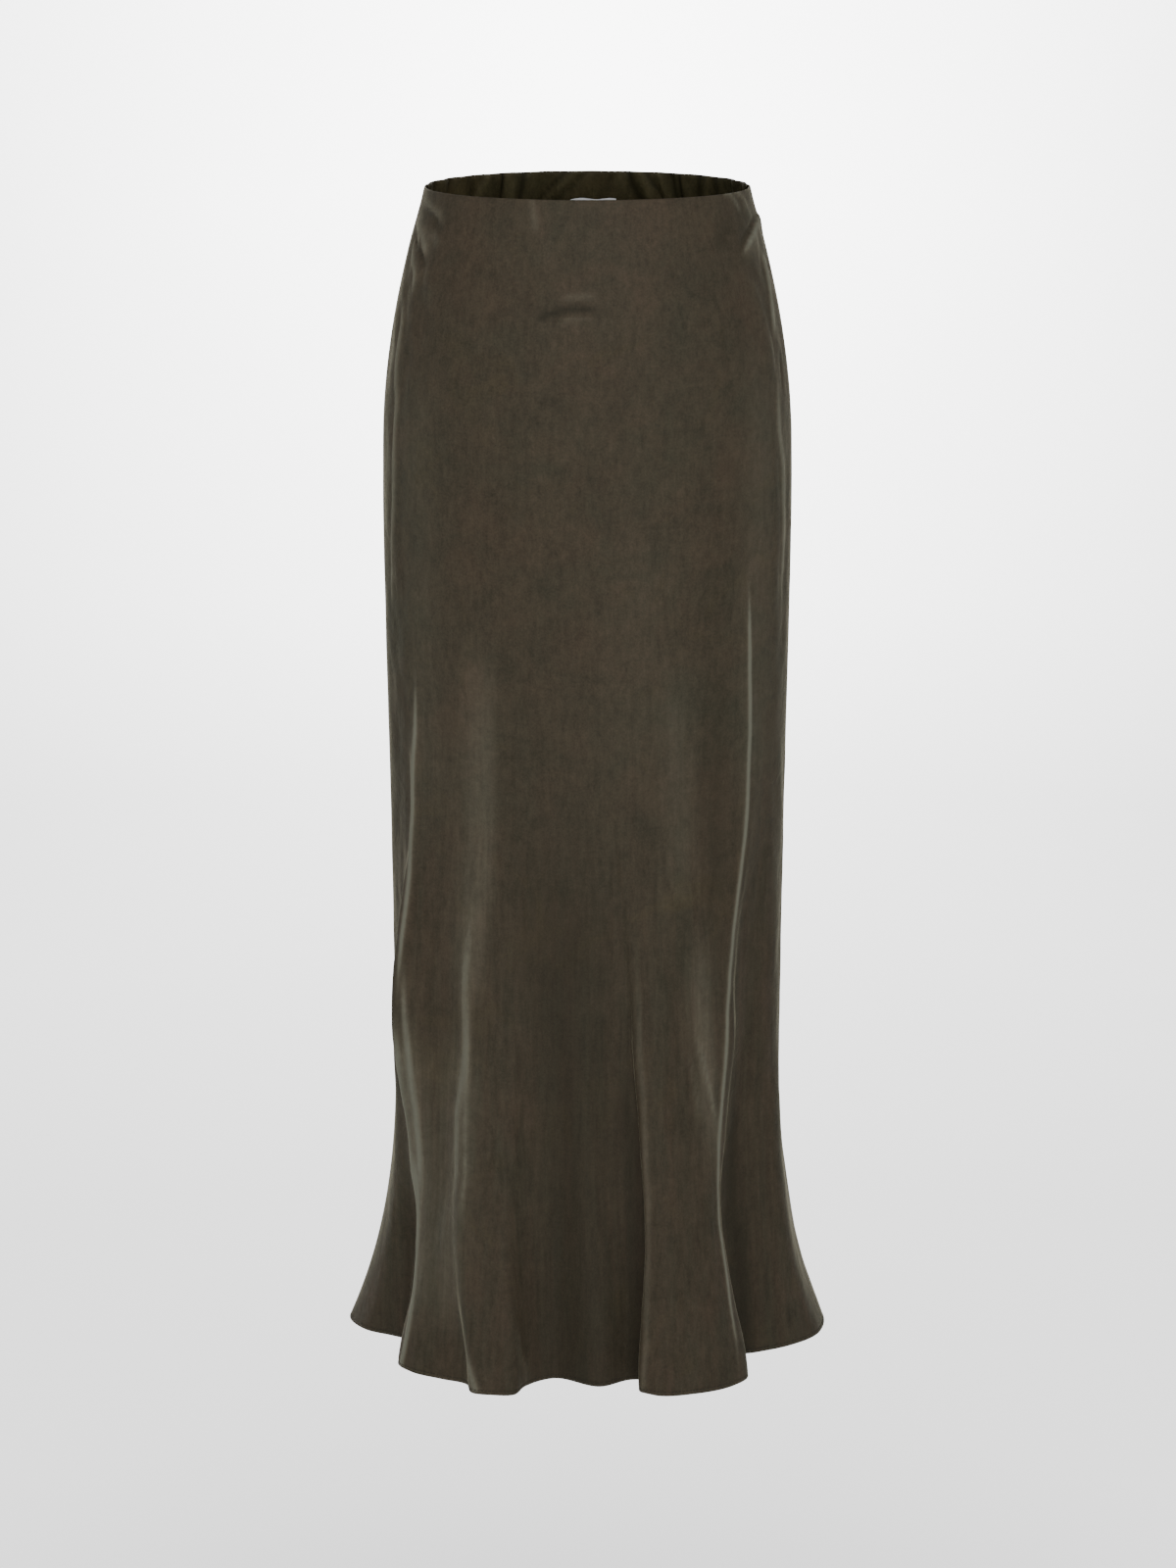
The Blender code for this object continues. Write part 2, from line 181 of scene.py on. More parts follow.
FOLDS = (
    Fold("left seam crest", -90.0, -0.2000, 0.0090, 0.28, 2.9, 0.000, 0.000),
    Fold("left side face", -80.0, -0.1855, -0.0185, 0.29, 2.6, 0.000, 0.000),
    Fold("left side inner", -73.0, -0.1600, -0.0330, 0.36, 1.8, 0.000, 0.000),
    Fold("left hollow", -67.0, -0.1340, -0.0500, 0.52, 1.5, -0.004, 0.002),
    Fold("left hollow front", -62.0, -0.1360, -0.0720, 0.54, 1.4, -0.010, 0.004),
    Fold("left front crest", -57.5, -0.1550, -0.0890, 0.56, 1.3, -0.013, 0.007),
    Fold("left front face", -51.0, -0.1430, -0.1065, 0.50, 1.5, -0.011, 0.005),
    Fold("left front middle", -43.0, -0.1180, -0.1205, 0.44, 1.6, -0.008, -0.003),
    Fold("second fold root", -36.0, -0.0975, -0.1315, 0.46, 1.6, -0.009, -0.012),
    Fold("second fold crest", -30.0, -0.0935, -0.1470, 0.48, 1.6, -0.010, -0.014),
    Fold("second fold face", -25.0, -0.0770, -0.1520, 0.46, 1.6, -0.008, -0.012),
    Fold("second fold end", -20.0, -0.0590, -0.1515, 0.44, 1.6, -0.005, -0.006),
    Fold("centre tuck", -16.0, -0.0500, -0.1345, 0.42, 1.6, -0.002, 0.000),
    Fold("centre hollow", -9.0, -0.0280, -0.1190, 0.42, 1.5, 0.000, 0.000),
    Fold("centre swell", -1.5, 0.0110, -0.1355, 0.40, 1.6, 0.000, 0.002),
    Fold("right fold root", 2.5, 0.0370, -0.1215, 0.46, 1.5, 0.004, 0.006),
    Fold("right fold tuck", 5.5, 0.0520, -0.1230, 0.48, 1.4, 0.006, 0.010),
    Fold("right fold edge", 8.5, 0.0430, -0.1440, 0.50, 1.4, 0.008, 0.011),
    Fold("right fold crest", 13.0, 0.0540, -0.1525, 0.50, 1.5, 0.006, 0.009),
    Fold("right fold face", 27.0, 0.0870, -0.1495, 0.46, 1.6, 0.000, -0.002),
    Fold("right fold far face", 41.0, 0.1170, -0.1345, 0.48, 1.5, -0.008, -0.013),
    Fold("right front crest", 50.5, 0.1305, -0.1165, 0.52, 1.3, -0.011, -0.021),
    Fold("right hollow front", 57.5, 0.1190, -0.0920, 0.54, 1.3, -0.010, -0.017),
    Fold("right hollow", 63.0, 0.1160, -0.0760, 0.54, 1.4, -0.006, -0.010),
    Fold("right hollow side", 69.0, 0.1390, -0.0665, 0.44, 1.6, -0.002, -0.004),
    Fold("right side inner", 76.0, 0.1660, -0.0530, 0.36, 1.9, 0.000, 0.000),
    Fold("right side face", 83.0, 0.1890, -0.0320, 0.30, 2.7, 0.000, 0.000),
    Fold("right seam crest", 90.0, 0.1985, -0.0050, 0.29, 3.1, 0.000, 0.000),
    Fold("right side back", 97.0, 0.1960, 0.0230, 0.30, 2.7, 0.000, 0.000),
    Fold("right back inner", 104.0, 0.1740, 0.0480, 0.36, 1.8, 0.000, 0.000),
    Fold("right back hollow", 111.0, 0.1500, 0.0610, 0.48, 1.5, -0.003, -0.003),
    Fold("right back root", 117.0, 0.1430, 0.0790, 0.50, 1.4, -0.004, -0.004),
    Fold("right back crest", 123.0, 0.1540, 0.0960, 0.52, 1.4, -0.004, 0.000),
    Fold("right back face", 130.0, 0.1420, 0.1170, 0.48, 1.5, 0.000, 0.004),
    Fold("right back slope", 138.0, 0.1150, 0.1290, 0.44, 1.6, 0.004, 0.008),
    Fold("right seat hollow", 146.0, 0.0900, 0.1190, 0.44, 1.5, 0.006, 0.006),
    Fold("right seat root", 152.0, 0.0740, 0.1260, 0.46, 1.5, 0.006, 0.006),
    Fold("right seat crest", 158.0, 0.0650, 0.1450, 0.48, 1.5, 0.006, 0.008),
    Fold("right seat face", 166.0, 0.0390, 0.1540, 0.44, 1.6, 0.003, 0.006),
    Fold("back hollow edge", 173.0, 0.0130, 0.1390, 0.42, 1.6, 0.000, 0.002),
    Fold("back hollow", 180.0, -0.0110, 0.1270, 0.44, 1.5, 0.000, 0.000),
    Fold("left seat root", 187.0, -0.0290, 0.1370, 0.46, 1.5, -0.004, -0.004),
    Fold("left seat crest", 193.0, -0.0420, 0.1530, 0.48, 1.5, -0.006, -0.008),
    Fold("left seat face", 201.0, -0.0700, 0.1520, 0.46, 1.6, -0.004, -0.006),
    Fold("left seat slope", 208.0, -0.0860, 0.1340, 0.44, 1.6, 0.000, 0.000),
    Fold("left back hollow", 216.0, -0.1040, 0.1150, 0.46, 1.5, 0.004, 0.006),
    Fold("left back root", 224.0, -0.1280, 0.1230, 0.48, 1.5, 0.006, 0.008),
    Fold("left back crest", 232.0, -0.1500, 0.1090, 0.52, 1.4, 0.004, 0.006),
    Fold("left back face", 239.0, -0.1500, 0.0850, 0.50, 1.4, 0.002, 0.004),
    Fold("left back tuck", 246.0, -0.1450, 0.0640, 0.48, 1.5, 0.000, 0.002),
    Fold("left back inner", 254.0, -0.1670, 0.0500, 0.36, 1.8, 0.000, 0.000),
    Fold("left side back", 262.0, -0.1925, 0.0330, 0.29, 2.6, 0.000, 0.000),
)

LEFT_SIDE_RUN = (
    (-55.8, -0.362), (-56, -0.416), (-57.3, -0.451), (-57.2, -0.503), (-55.9, -0.535),
    (-55.3, -0.568), (-55.4, -0.600), (-55.8, -0.650),
)

RIGHT_CREST_RUN = (
    (49.3, -0.290), (50.2, -0.349), (50.8, -0.421), (50.8, -0.462), (50.2, -0.493), (49.9, -0.525),
    (49.8, -0.553), (49.5, -0.576), (49.2, -0.602), (48.3, -0.628), (47, -0.652), (46.1, -0.680),
    (45.4, -0.708), (45, -0.731), (45, -0.756), (45.9, -0.784), (46.8, -0.807), (47.5, -0.830),
    (47.4, -0.859), (46.5, -0.883), (45.5, -0.911), (44.9, -0.942),
)

RIGHT_FACET = (
    (82.5, -0.0235), (78.4, -0.0255), (74.1, -0.028), (68.2, -0.033), (63.8, -0.0375),
    (60.4, -0.042), (56, -0.0485),
)

# After depth, left and right comes each crease's painted light: painted highlights on crests, lines,
# blooms and glows, and below zero painted shade in hollows, troughs, the dimple and the lower
# centre.
CREASES = (
    Crease("left waist drag", (
        (-80, -0.006), (-75.5, -0.0095), (-69.4, -0.0115), (-62.1, -0.016), (-57.4, -0.020),
        (-54, -0.026),
    ), 0.0014, 0.0045, 0.0016, 0.46),
    Crease("left waist drag fold", (
        (-82, -0.014), (-68, -0.017), (-61, -0.0215), (-56, -0.028), (-52, -0.037),
    ), -0.0012, 0.003, 0.0022, -0.30),
    Crease("left hip pleat", (
        (-77, -0.029), (-73.2, -0.031), (-68.7, -0.0345), (-66.3, -0.039), (-63.1, -0.046),
        (-60.4, -0.054),
    ), 0.0018, 0.0065, 0.0015, 0.62, Ends.FINISH),
    Crease("left hip pleat lens", ((-65.7, -0.030), (-60, -0.033), (-56.6, -0.037), (-54, -0.041)),
           0.0004, 0.004, 0.004, 0.24),
    Crease("left hip pleat fold", (
        (-80, -0.033), (-74, -0.040), (-68, -0.045), (-63, -0.052), (-61, -0.060),
    ), -0.0014, 0.0022, 0.0020, -0.50),
    Crease("left hip pleat lower", (
        (-77.3, -0.034), (-76.5, -0.040), (-75.5, -0.046), (-73, -0.052), (-69.6, -0.058),
        (-67.1, -0.065), (-65, -0.080),
    ), 0.0015, 0.0038, 0.0015, 0.74, Ends.BOTH, 0.25),
    Crease("left hip drag", ((-64, -0.050), (-58, -0.066), (-50, -0.090)),
           0.0010, 0.005, 0.008, 0.08),
    Crease("left hip drag lower", ((-80, -0.096), (-70, -0.120), (-62, -0.150)),
           0.0009, 0.005, 0.009, 0.06),
    Crease("left seam ripple", (
        (-81, -0.070), (-76, -0.080), (-72, -0.092), (-70, -0.112), (-69.5, -0.130),
        (-68.5, -0.148), (-67, -0.162), (-67.5, -0.180), (-67.8, -0.200), (-67.8, -0.231),
        (-69, -0.262), (-70.5, -0.295), (-72.5, -0.335),
    ), 0.0011, 0.0034, 0.0020, 0.62, Ends.BOTH, 0.16),
    Crease("left seam ripple inner", (
        (-64, -0.168), (-65.5, -0.230), (-66, -0.285), (-64.5, -0.345),
    ), 0.0007, 0.005, 0.005),
    Crease("right waist band", ((66, -0.004), (68.6, -0.011), (70.5, -0.018), (74, -0.023)),
           0.0010, 0.004, 0.004, 0.14),
    Crease("right waist fold", (
        (60, -0.0255), (55, -0.0265), (51, -0.029), (47.4, -0.034), (44, -0.039),
    ), -0.0010, 0.004, 0.004, -0.20),
    Crease("right hip facet", RIGHT_FACET, 0.0020, 0.011, 0.0016, 0.34, Ends.FINISH),
    Crease("right hip facet edge", RIGHT_FACET, 0.0003, 0.0026, 0.0011, 0.62, Ends.FINISH),
    Crease("right hip facet fold", (
        (80, -0.0205), (72, -0.025), (65, -0.0315), (60, -0.0375), (55, -0.0455),
    ), -0.0014, 0.0022, 0.0034, -0.30),
    Crease("right hip streak", ((71.2, -0.029), (71.4, -0.037), (70.6, -0.046), (69.5, -0.062)),
           0.0006, 0.0020, 0.0020, 0.42),
    Crease("right hip line", (
        (72, -0.036), (73.4, -0.048), (74.8, -0.060), (74.2, -0.073), (72.2, -0.087),
        (70.3, -0.102), (68.6, -0.120),
    ), 0.0014, 0.0034, 0.0024, 1.00, Ends.BOTH, 0.32),
    Crease("right hip edge", ((57, -0.046), (61, -0.076), (65, -0.112), (66, -0.160)),
           0.0012, 0.004, 0.010, 0.05),
    Crease("right seam ripple", (
        (69.8, -0.106), (69, -0.135), (67, -0.160), (66.2, -0.181), (67.3, -0.194), (69.2, -0.208),
        (69.8, -0.231), (70, -0.264), (70.3, -0.311), (69.6, -0.360),
    ), 0.0010, 0.0044, 0.0024, 0.70, Ends.BOTH, 0.34),
    Crease("right seam ripple fold", ((74, -0.118), (73, -0.140), (72, -0.162)),
           -0.0010, 0.003, 0.003, -0.20),
    Crease("right seam ripple inner", ((62, -0.150), (64, -0.205), (65, -0.262), (65, -0.330)),
           0.0008, 0.005, 0.005),
    Crease("right rim gather", (
        (55.6, 0.000), (58.9, -0.001), (60.9, -0.005), (62.7, -0.011), (63.3, -0.017),
    ), 0.0006, 0.0018, 0.0016, 0.52, Ends.FINISH),
    Crease("right rim gather outer", (
        (62.7, 0.000), (67.1, -0.003), (69.5, -0.008), (68.4, -0.016),
    ), 0.0006, 0.0018, 0.0016, 0.46, Ends.FINISH),
    Crease("front waist pinch", ((-18.6, 0.0), (-17.4, -0.012), (-15.6, -0.027)),
           0.0007, 0.002, 0.004, 0.20, Ends.FINISH),
    Crease("front dimple", (
        (-13.5, -0.099), (-10, -0.094), (-6, -0.090), (-1, -0.0885), (2.5, -0.0905), (5, -0.095),
    ), -0.0013, 0.0036, 0.007),
    Crease("front dimple shade", (
        (-15, -0.0905), (-12, -0.0865), (-9, -0.0835), (-6, -0.0812), (-3, -0.0805), (0.5, -0.0808),
        (3.6, -0.084),
    ), 0.0, 0.0030, 0.0030, -0.66, Ends.BOTH, 0.22),
    Crease("front dimple brow", ((-8.5, -0.0735), (-4, -0.0722), (0, -0.0715), (3.5, -0.073)),
           0.0003, 0.003, 0.003, 0.20),
    Crease("front dimple lip", ((-9, -0.0925), (-5, -0.0885), (-1.5, -0.0868), (3, -0.0872)),
           0.0003, 0.003, 0.003, 0.17),
    Crease("left side ridge", LEFT_SIDE_RUN, 0.0018, 0.0034, 0.0028, 0.14, Ends.BOTH, 0.26),
    Crease("left side line", LEFT_SIDE_RUN, 0.0, 0.0018, 0.0015, 1.10, Ends.BOTH, 0.24),
    Crease("left side hollow", (
        (-66, -0.380), (-68.5, -0.430), (-71, -0.475), (-73, -0.520), (-74, -0.560),
    ), -0.0010, 0.009, 0.010, -0.36),
    Crease("left hollow fill", ((-66, -0.590), (-66.5, -0.690), (-66, -0.770), (-65.5, -0.870)),
           0.0100, 0.021, 0.021, 0.10),
    Crease("left crest undercut", ((-58, -0.780), (-57, -0.840), (-56.5, -0.885), (-57.5, -0.938)),
           -0.0056, 0.0075, 0.012, 0.0, Ends.BOTH, 0.32),
    Crease("left flank glow", (
        (-56, -0.085), (-54, -0.180), (-53, -0.300), (-52, -0.430), (-52, -0.560),
    ), 0.0, 0.022, 0.022, 0.13, Ends.BOTH, 0.25),
    Crease("right flank glow", (
        (56, -0.075), (55, -0.180), (54, -0.300), (54, -0.430), (55, -0.540),
    ), 0.0, 0.020, 0.020, 0.15, Ends.BOTH, 0.25),
    Crease("left fan inner", (
        (-54.5, -0.600), (-53.1, -0.656), (-52.9, -0.685), (-53.4, -0.716), (-53.6, -0.749),
        (-53.4, -0.775), (-52.8, -0.798), (-53.6, -0.820),
    ), 0.0010, 0.0026, 0.0030, 0.62, Ends.BOTH, 0.22),
    Crease("left fan middle", (
        (-57, -0.650), (-56.6, -0.682), (-57.4, -0.700), (-58, -0.719), (-58.6, -0.750),
        (-58, -0.775), (-56.6, -0.797), (-55.2, -0.821), (-54.8, -0.845),
    ), 0.0012, 0.0026, 0.0026, 0.75, Ends.BOTH, 0.22),
    Crease("left fan outer", (
        (-66, -0.690), (-64, -0.720), (-61, -0.748), (-59.5, -0.775), (-58, -0.800),
    ), 0.0009, 0.0028, 0.0028, 0.50, Ends.BOTH, 0.30),
    Crease("left fan bloom", (
        (-54.5, -0.640), (-54.5, -0.690), (-55.5, -0.740), (-55.5, -0.790), (-54.5, -0.850),
        (-54, -0.930),
    ), 0.0, 0.016, 0.012, 0.40, Ends.BOTH, 0.22),
    Crease("left crest line", (
        (-56, -0.770), (-55.2, -0.800), (-54.6, -0.825), (-54.2, -0.850), (-53.6, -0.875),
        (-53.2, -0.895), (-53.6, -0.919), (-54.8, -0.946),
    ), 0.0012, 0.0026, 0.0024, 1.20, Ends.START, 0.20),
    Crease("second fold ridge", ((-29, -0.500), (-30.5, -0.605), (-33, -0.690), (-34, -0.790)),
           0.0010, 0.012, 0.016),
    Crease("second fold line", (
        (-30.2, -0.540), (-30.6, -0.602), (-30.7, -0.631), (-30.6, -0.663), (-31.6, -0.696),
        (-33.6, -0.724), (-33.4, -0.748), (-32.8, -0.770), (-34, -0.795), (-35, -0.825),
    ), 0.0006, 0.0034, 0.0034, 0.44, Ends.BOTH, 0.26),
    Crease("second fold line right", (
        (-29.2, -0.610), (-29.6, -0.647), (-30.1, -0.678), (-29.8, -0.711), (-29.2, -0.742),
        (-28.6, -0.775), (-30, -0.830),
    ), 0.0005, 0.0026, 0.0026, 0.30, Ends.BOTH, 0.22),
    Crease("second fold foot", (
        (-35.0, -0.872), (-34.4, -0.892), (-33.0, -0.910), (-30.6, -0.929), (-28.8, -0.946),
    ), 0.0007, 0.0034, 0.0028, 0.74, Ends.START, 0.50),
    Crease("second fold end streak", (
        (-18.8, -0.890), (-17.9, -0.923), (-16.5, -0.932), (-15.9, -0.946),
    ), 0.0003, 0.005, 0.004, 0.24, Ends.START),
    Crease("second fold bloom", (
        (-27, -0.300), (-27.4, -0.375), (-28, -0.439), (-28.2, -0.503), (-27.6, -0.567),
        (-28.2, -0.622), (-31, -0.700),
    ), 0.0, 0.009, 0.022, 0.27),
    Crease("second fold bloom low", (
        (-31.5, -0.640), (-32.6, -0.700), (-33, -0.760), (-35, -0.820), (-37, -0.880),
        (-37, -0.935),
    ), 0.0, 0.015, 0.024, 0.28, Ends.BOTH, 0.22),
    Crease("second fold flank", ((-38.5, -0.790), (-39.5, -0.850), (-38, -0.905)),
           0.0022, 0.010, 0.013),
    Crease("right crest ridge", RIGHT_CREST_RUN, 0.0010, 0.0030, 0.0030, 0.10, Ends.BOTH, 0.10),
    Crease("right crest line", RIGHT_CREST_RUN, 0.0, 0.0016, 0.0016, 1.05, Ends.BOTH, 0.10),
    Crease("right crest shade", (
        (36.5, -0.345), (36.8, -0.425), (37, -0.497), (40, -0.553), (43, -0.618),
    ), 0.0, 0.009, 0.009, -0.16),
    Crease("right hollow shade", (
        (52, -0.660), (58, -0.700), (61, -0.741), (63, -0.777), (64.2, -0.821), (65.6, -0.849),
        (66.2, -0.881), (67, -0.946),
    ), 0.0, 0.009, 0.009, -0.48, Ends.START),
    Crease("right crest bloom", (
        (32.4, -0.550), (33, -0.624), (34.5, -0.656), (36.5, -0.689), (38, -0.722), (40, -0.746),
        (43.2, -0.800),
    ), 0.0008, 0.010, 0.009, 0.32),
    Crease("right crest streak", (
        (27.8, -0.639), (31.3, -0.663), (35.1, -0.688), (38.9, -0.714), (43, -0.739), (46, -0.765),
    ), 0.0003, 0.0022, 0.0022, 0.26),
    Crease("right crest streak inner", (
        (26, -0.662), (28.6, -0.686), (31.6, -0.711), (34.5, -0.737),
    ), 0.0002, 0.0022, 0.0022, 0.17),
    Crease("right face bloom", (
        (21, -0.330), (22.9, -0.374), (23.8, -0.438), (24.8, -0.502), (27.2, -0.580),
    ), 0.0, 0.018, 0.014, 0.14),
    Crease("right fold glow", (
        (20.7, -0.371), (24.5, -0.485), (27.5, -0.553), (33.9, -0.624), (36, -0.673),
        (40.3, -0.754),
    ), 0.0016, 0.014, 0.018),
    Crease("right fold lip", (
        (7.4, -0.480), (8.0, -0.560), (8.4, -0.640), (9.0, -0.734), (8.6, -0.843), (9.6, -0.946),
    ), 0.0016, 0.004, 0.010, 0.0, Ends.START),
    Crease("right fold line", (
        (9.3, -0.560), (9.5, -0.659), (9.9, -0.699), (9.8, -0.723), (9.6, -0.754), (9.3, -0.787),
        (9, -0.821), (9.1, -0.852), (9.6, -0.883), (10.2, -0.916), (10, -0.946),
    ), 0.0006, 0.0024, 0.003, 0.26, Ends.START),
    Crease("right fold shade", (
        (4, -0.640), (4, -0.719), (3.7, -0.760), (3.4, -0.801), (3.2, -0.843), (3.1, -0.885),
        (3, -0.946),
    ), 0.0, 0.010, 0.007, -0.40, Ends.START),
    Crease("middle bloom", ((12, -0.180), (13, -0.300), (10, -0.420), (14, -0.520)),
           0.0, 0.030, 0.030, 0.06),
    Crease("centre shade", ((-8, -0.430), (-7, -0.550), (-5, -0.680), (-5, -0.800), (-5, -0.950)),
           0.0, 0.036, 0.032, -0.36, Ends.START),
    Crease("centre streak left", (
        (-15, -0.629), (-18, -0.709), (-19.6, -0.788), (-20.5, -0.859), (-21.6, -0.940),
    ), 0.0012, 0.008, 0.006, 0.0, Ends.START),
    Crease("centre streak", ((-7, -0.655), (-9.3, -0.735), (-10.9, -0.820), (-11, -0.900)),
           0.0014, 0.006, 0.008, 0.06),
    Crease("centre streak right", ((-0.5, -0.655), (-1.5, -0.734), (-2.6, -0.805), (-2.5, -0.913)),
           0.0012, 0.006, 0.008, 0.06),
    Crease("right side glow", ((73, -0.708), (75.6, -0.822), (80.3, -0.896), (84, -0.940)),
           0.0016, 0.010, 0.008, 0.0, Ends.START),
    Crease("right back seam drag", ((94, -0.046), (102, -0.068), (110, -0.102)),
           0.0014, 0.004, 0.006, 0.30),
    Crease("right back seam ripple", ((95, -0.120), (101, -0.160), (104, -0.215), (103, -0.290)),
           0.0011, 0.004, 0.004, 0.42),
    Crease("left back seam drag", ((266, -0.040), (257, -0.070), (249, -0.115)),
           0.0015, 0.006, 0.004, 0.30),
    Crease("left back seam drag lower", ((265, -0.076), (258, -0.104), (253, -0.150)),
           0.0012, 0.006, 0.004, 0.24),
    Crease("left back seam ripple", ((266, -0.150), (259, -0.200), (256, -0.260), (257.5, -0.335)),
           0.0010, 0.004, 0.004, 0.40),
    Crease("right seat drag", ((146, -0.118), (156, -0.158), (170, -0.182)),
           -0.0011, 0.006, 0.009, -0.14),
    Crease("left seat drag", ((212, -0.130), (203, -0.166), (190, -0.192)),
           -0.0010, 0.009, 0.006, -0.12),
    Crease("right back line", (
        (125, -0.300), (123, -0.400), (124, -0.500), (125, -0.600), (123, -0.690), (122, -0.770),
        (123.5, -0.850), (123, -0.946),
    ), 0.0014, 0.0035, 0.0030, 0.66, Ends.START),
    Crease("right back bloom", ((129, -0.360), (128, -0.500), (129, -0.640), (127, -0.780)),
           0.0, 0.013, 0.013, 0.20),
    Crease("right seat line", (
        (157, -0.480), (158.5, -0.580), (157, -0.670), (156, -0.750), (158.5, -0.830),
        (158, -0.946),
    ), 0.0014, 0.004, 0.0035, 0.42, Ends.START),
    Crease("right seat bloom", ((153, -0.240), (155, -0.380), (158, -0.520), (157, -0.700)),
           0.0, 0.016, 0.014, 0.22),
    Crease("left seat line", (
        (196, -0.500), (194, -0.590), (193, -0.680), (194.5, -0.770), (193, -0.860),
        (193.5, -0.946),
    ), 0.0014, 0.0035, 0.004, 0.46, Ends.START),
    Crease("left seat bloom", (
        (199, -0.280), (197, -0.420), (195, -0.560), (196, -0.720), (194, -0.860),
    ), 0.0, 0.013, 0.015, 0.22),
    Crease("left back line", (
        (229, -0.320), (231, -0.430), (232, -0.540), (231, -0.640), (233, -0.730), (231.5, -0.820),
        (232.5, -0.946),
    ), 0.0015, 0.003, 0.0035, 0.70, Ends.START),
    Crease("left back bloom", ((226, -0.420), (227, -0.560), (227, -0.700), (228, -0.830)),
           0.0, 0.012, 0.012, 0.22),
    Crease("back middle glow", ((172, -0.200), (176, -0.320), (171, -0.440)),
           0.0, 0.026, 0.026, 0.08),
    Crease("right back hollow shade", ((112, -0.460), (111, -0.640), (112, -0.800), (111, -0.950)),
           0.0, 0.010, 0.010, -0.36, Ends.START),
    Crease("right seat hollow shade", ((147, -0.500), (146, -0.660), (147, -0.820), (147, -0.950)),
           0.0, 0.011, 0.010, -0.34, Ends.START),
    Crease("back hollow shade", ((179, -0.520), (181, -0.680), (180, -0.820), (180, -0.950)),
           0.0, 0.014, 0.013, -0.34, Ends.START),
    Crease("left seat hollow shade", ((215, -0.500), (217, -0.660), (216, -0.820), (216, -0.950)),
           0.0, 0.011, 0.012, -0.34, Ends.START),
    Crease("left back hollow shade", ((247, -0.470), (246, -0.640), (247, -0.800), (247, -0.950)),
           0.0, 0.010, 0.010, -0.36, Ends.START),
    Crease("right seat streak", ((168, -0.620), (170, -0.740), (168.5, -0.880)),
           0.0012, 0.006, 0.008, 0.06),
    Crease("left seat streak", ((205, -0.600), (203, -0.720), (206, -0.860)),
           0.0012, 0.008, 0.006, 0.08),
    Crease("right back streak", ((138, -0.620), (136.5, -0.750), (139, -0.910)),
           0.0012, 0.006, 0.007, 0.08),
)

# The last value is painted light: painted highlight on gathers, painted shade in dips.
BACK_GATHERS = (
    Gather(95, 97, 0.040, 0.0007, 0.0026, 0.10),
    Gather(101, 100, 0.066, -0.0009, 0.0030, -0.16),
    Gather(105, 108, 0.052, 0.0010, 0.0028, 0.16),
    Gather(112, 110, 0.080, -0.0008, 0.0026, -0.12),
    Gather(117, 121, 0.058, 0.0011, 0.0032, 0.18),
    Gather(124, 123, 0.046, -0.0010, 0.0026, -0.20),
    Gather(128, 126, 0.090, 0.0009, 0.0030, 0.12),
    Gather(135, 139, 0.062, -0.0011, 0.0030, -0.18),
    Gather(141, 140, 0.048, 0.0010, 0.0026, 0.16),
    Gather(148, 152, 0.076, 0.0012, 0.0034, 0.16),
    Gather(153, 151, 0.050, -0.0010, 0.0026, -0.20),
    Gather(160, 163, 0.084, 0.0008, 0.0030, 0.10),
    Gather(166, 165, 0.056, -0.0012, 0.0030, -0.20),
    Gather(171, 174, 0.044, 0.0011, 0.0026, 0.18),
    Gather(178, 177, 0.070, -0.0008, 0.0030, -0.10),
    Gather(184, 188, 0.060, 0.0011, 0.0030, 0.16),
    Gather(190, 189, 0.048, -0.0011, 0.0026, -0.20),
    Gather(196, 193, 0.088, 0.0009, 0.0032, 0.12),
    Gather(203, 205, 0.054, -0.0010, 0.0028, -0.18),
    Gather(208, 206, 0.064, 0.0012, 0.0030, 0.18),
    Gather(215, 218, 0.046, -0.0009, 0.0026, -0.16),
    Gather(221, 219, 0.078, 0.0009, 0.0030, 0.12),
    Gather(227, 230, 0.056, -0.0011, 0.0030, -0.20),
    Gather(233, 231, 0.044, 0.0010, 0.0026, 0.18),
    Gather(240, 243, 0.082, 0.0010, 0.0032, 0.12),
    Gather(246, 244, 0.052, -0.0010, 0.0028, -0.18),
    Gather(252, 250, 0.060, 0.0009, 0.0028, 0.14),
    Gather(259, 261, 0.044, -0.0008, 0.0026, -0.14),
    Gather(265, 262, 0.056, 0.0008, 0.0026, 0.10),
)
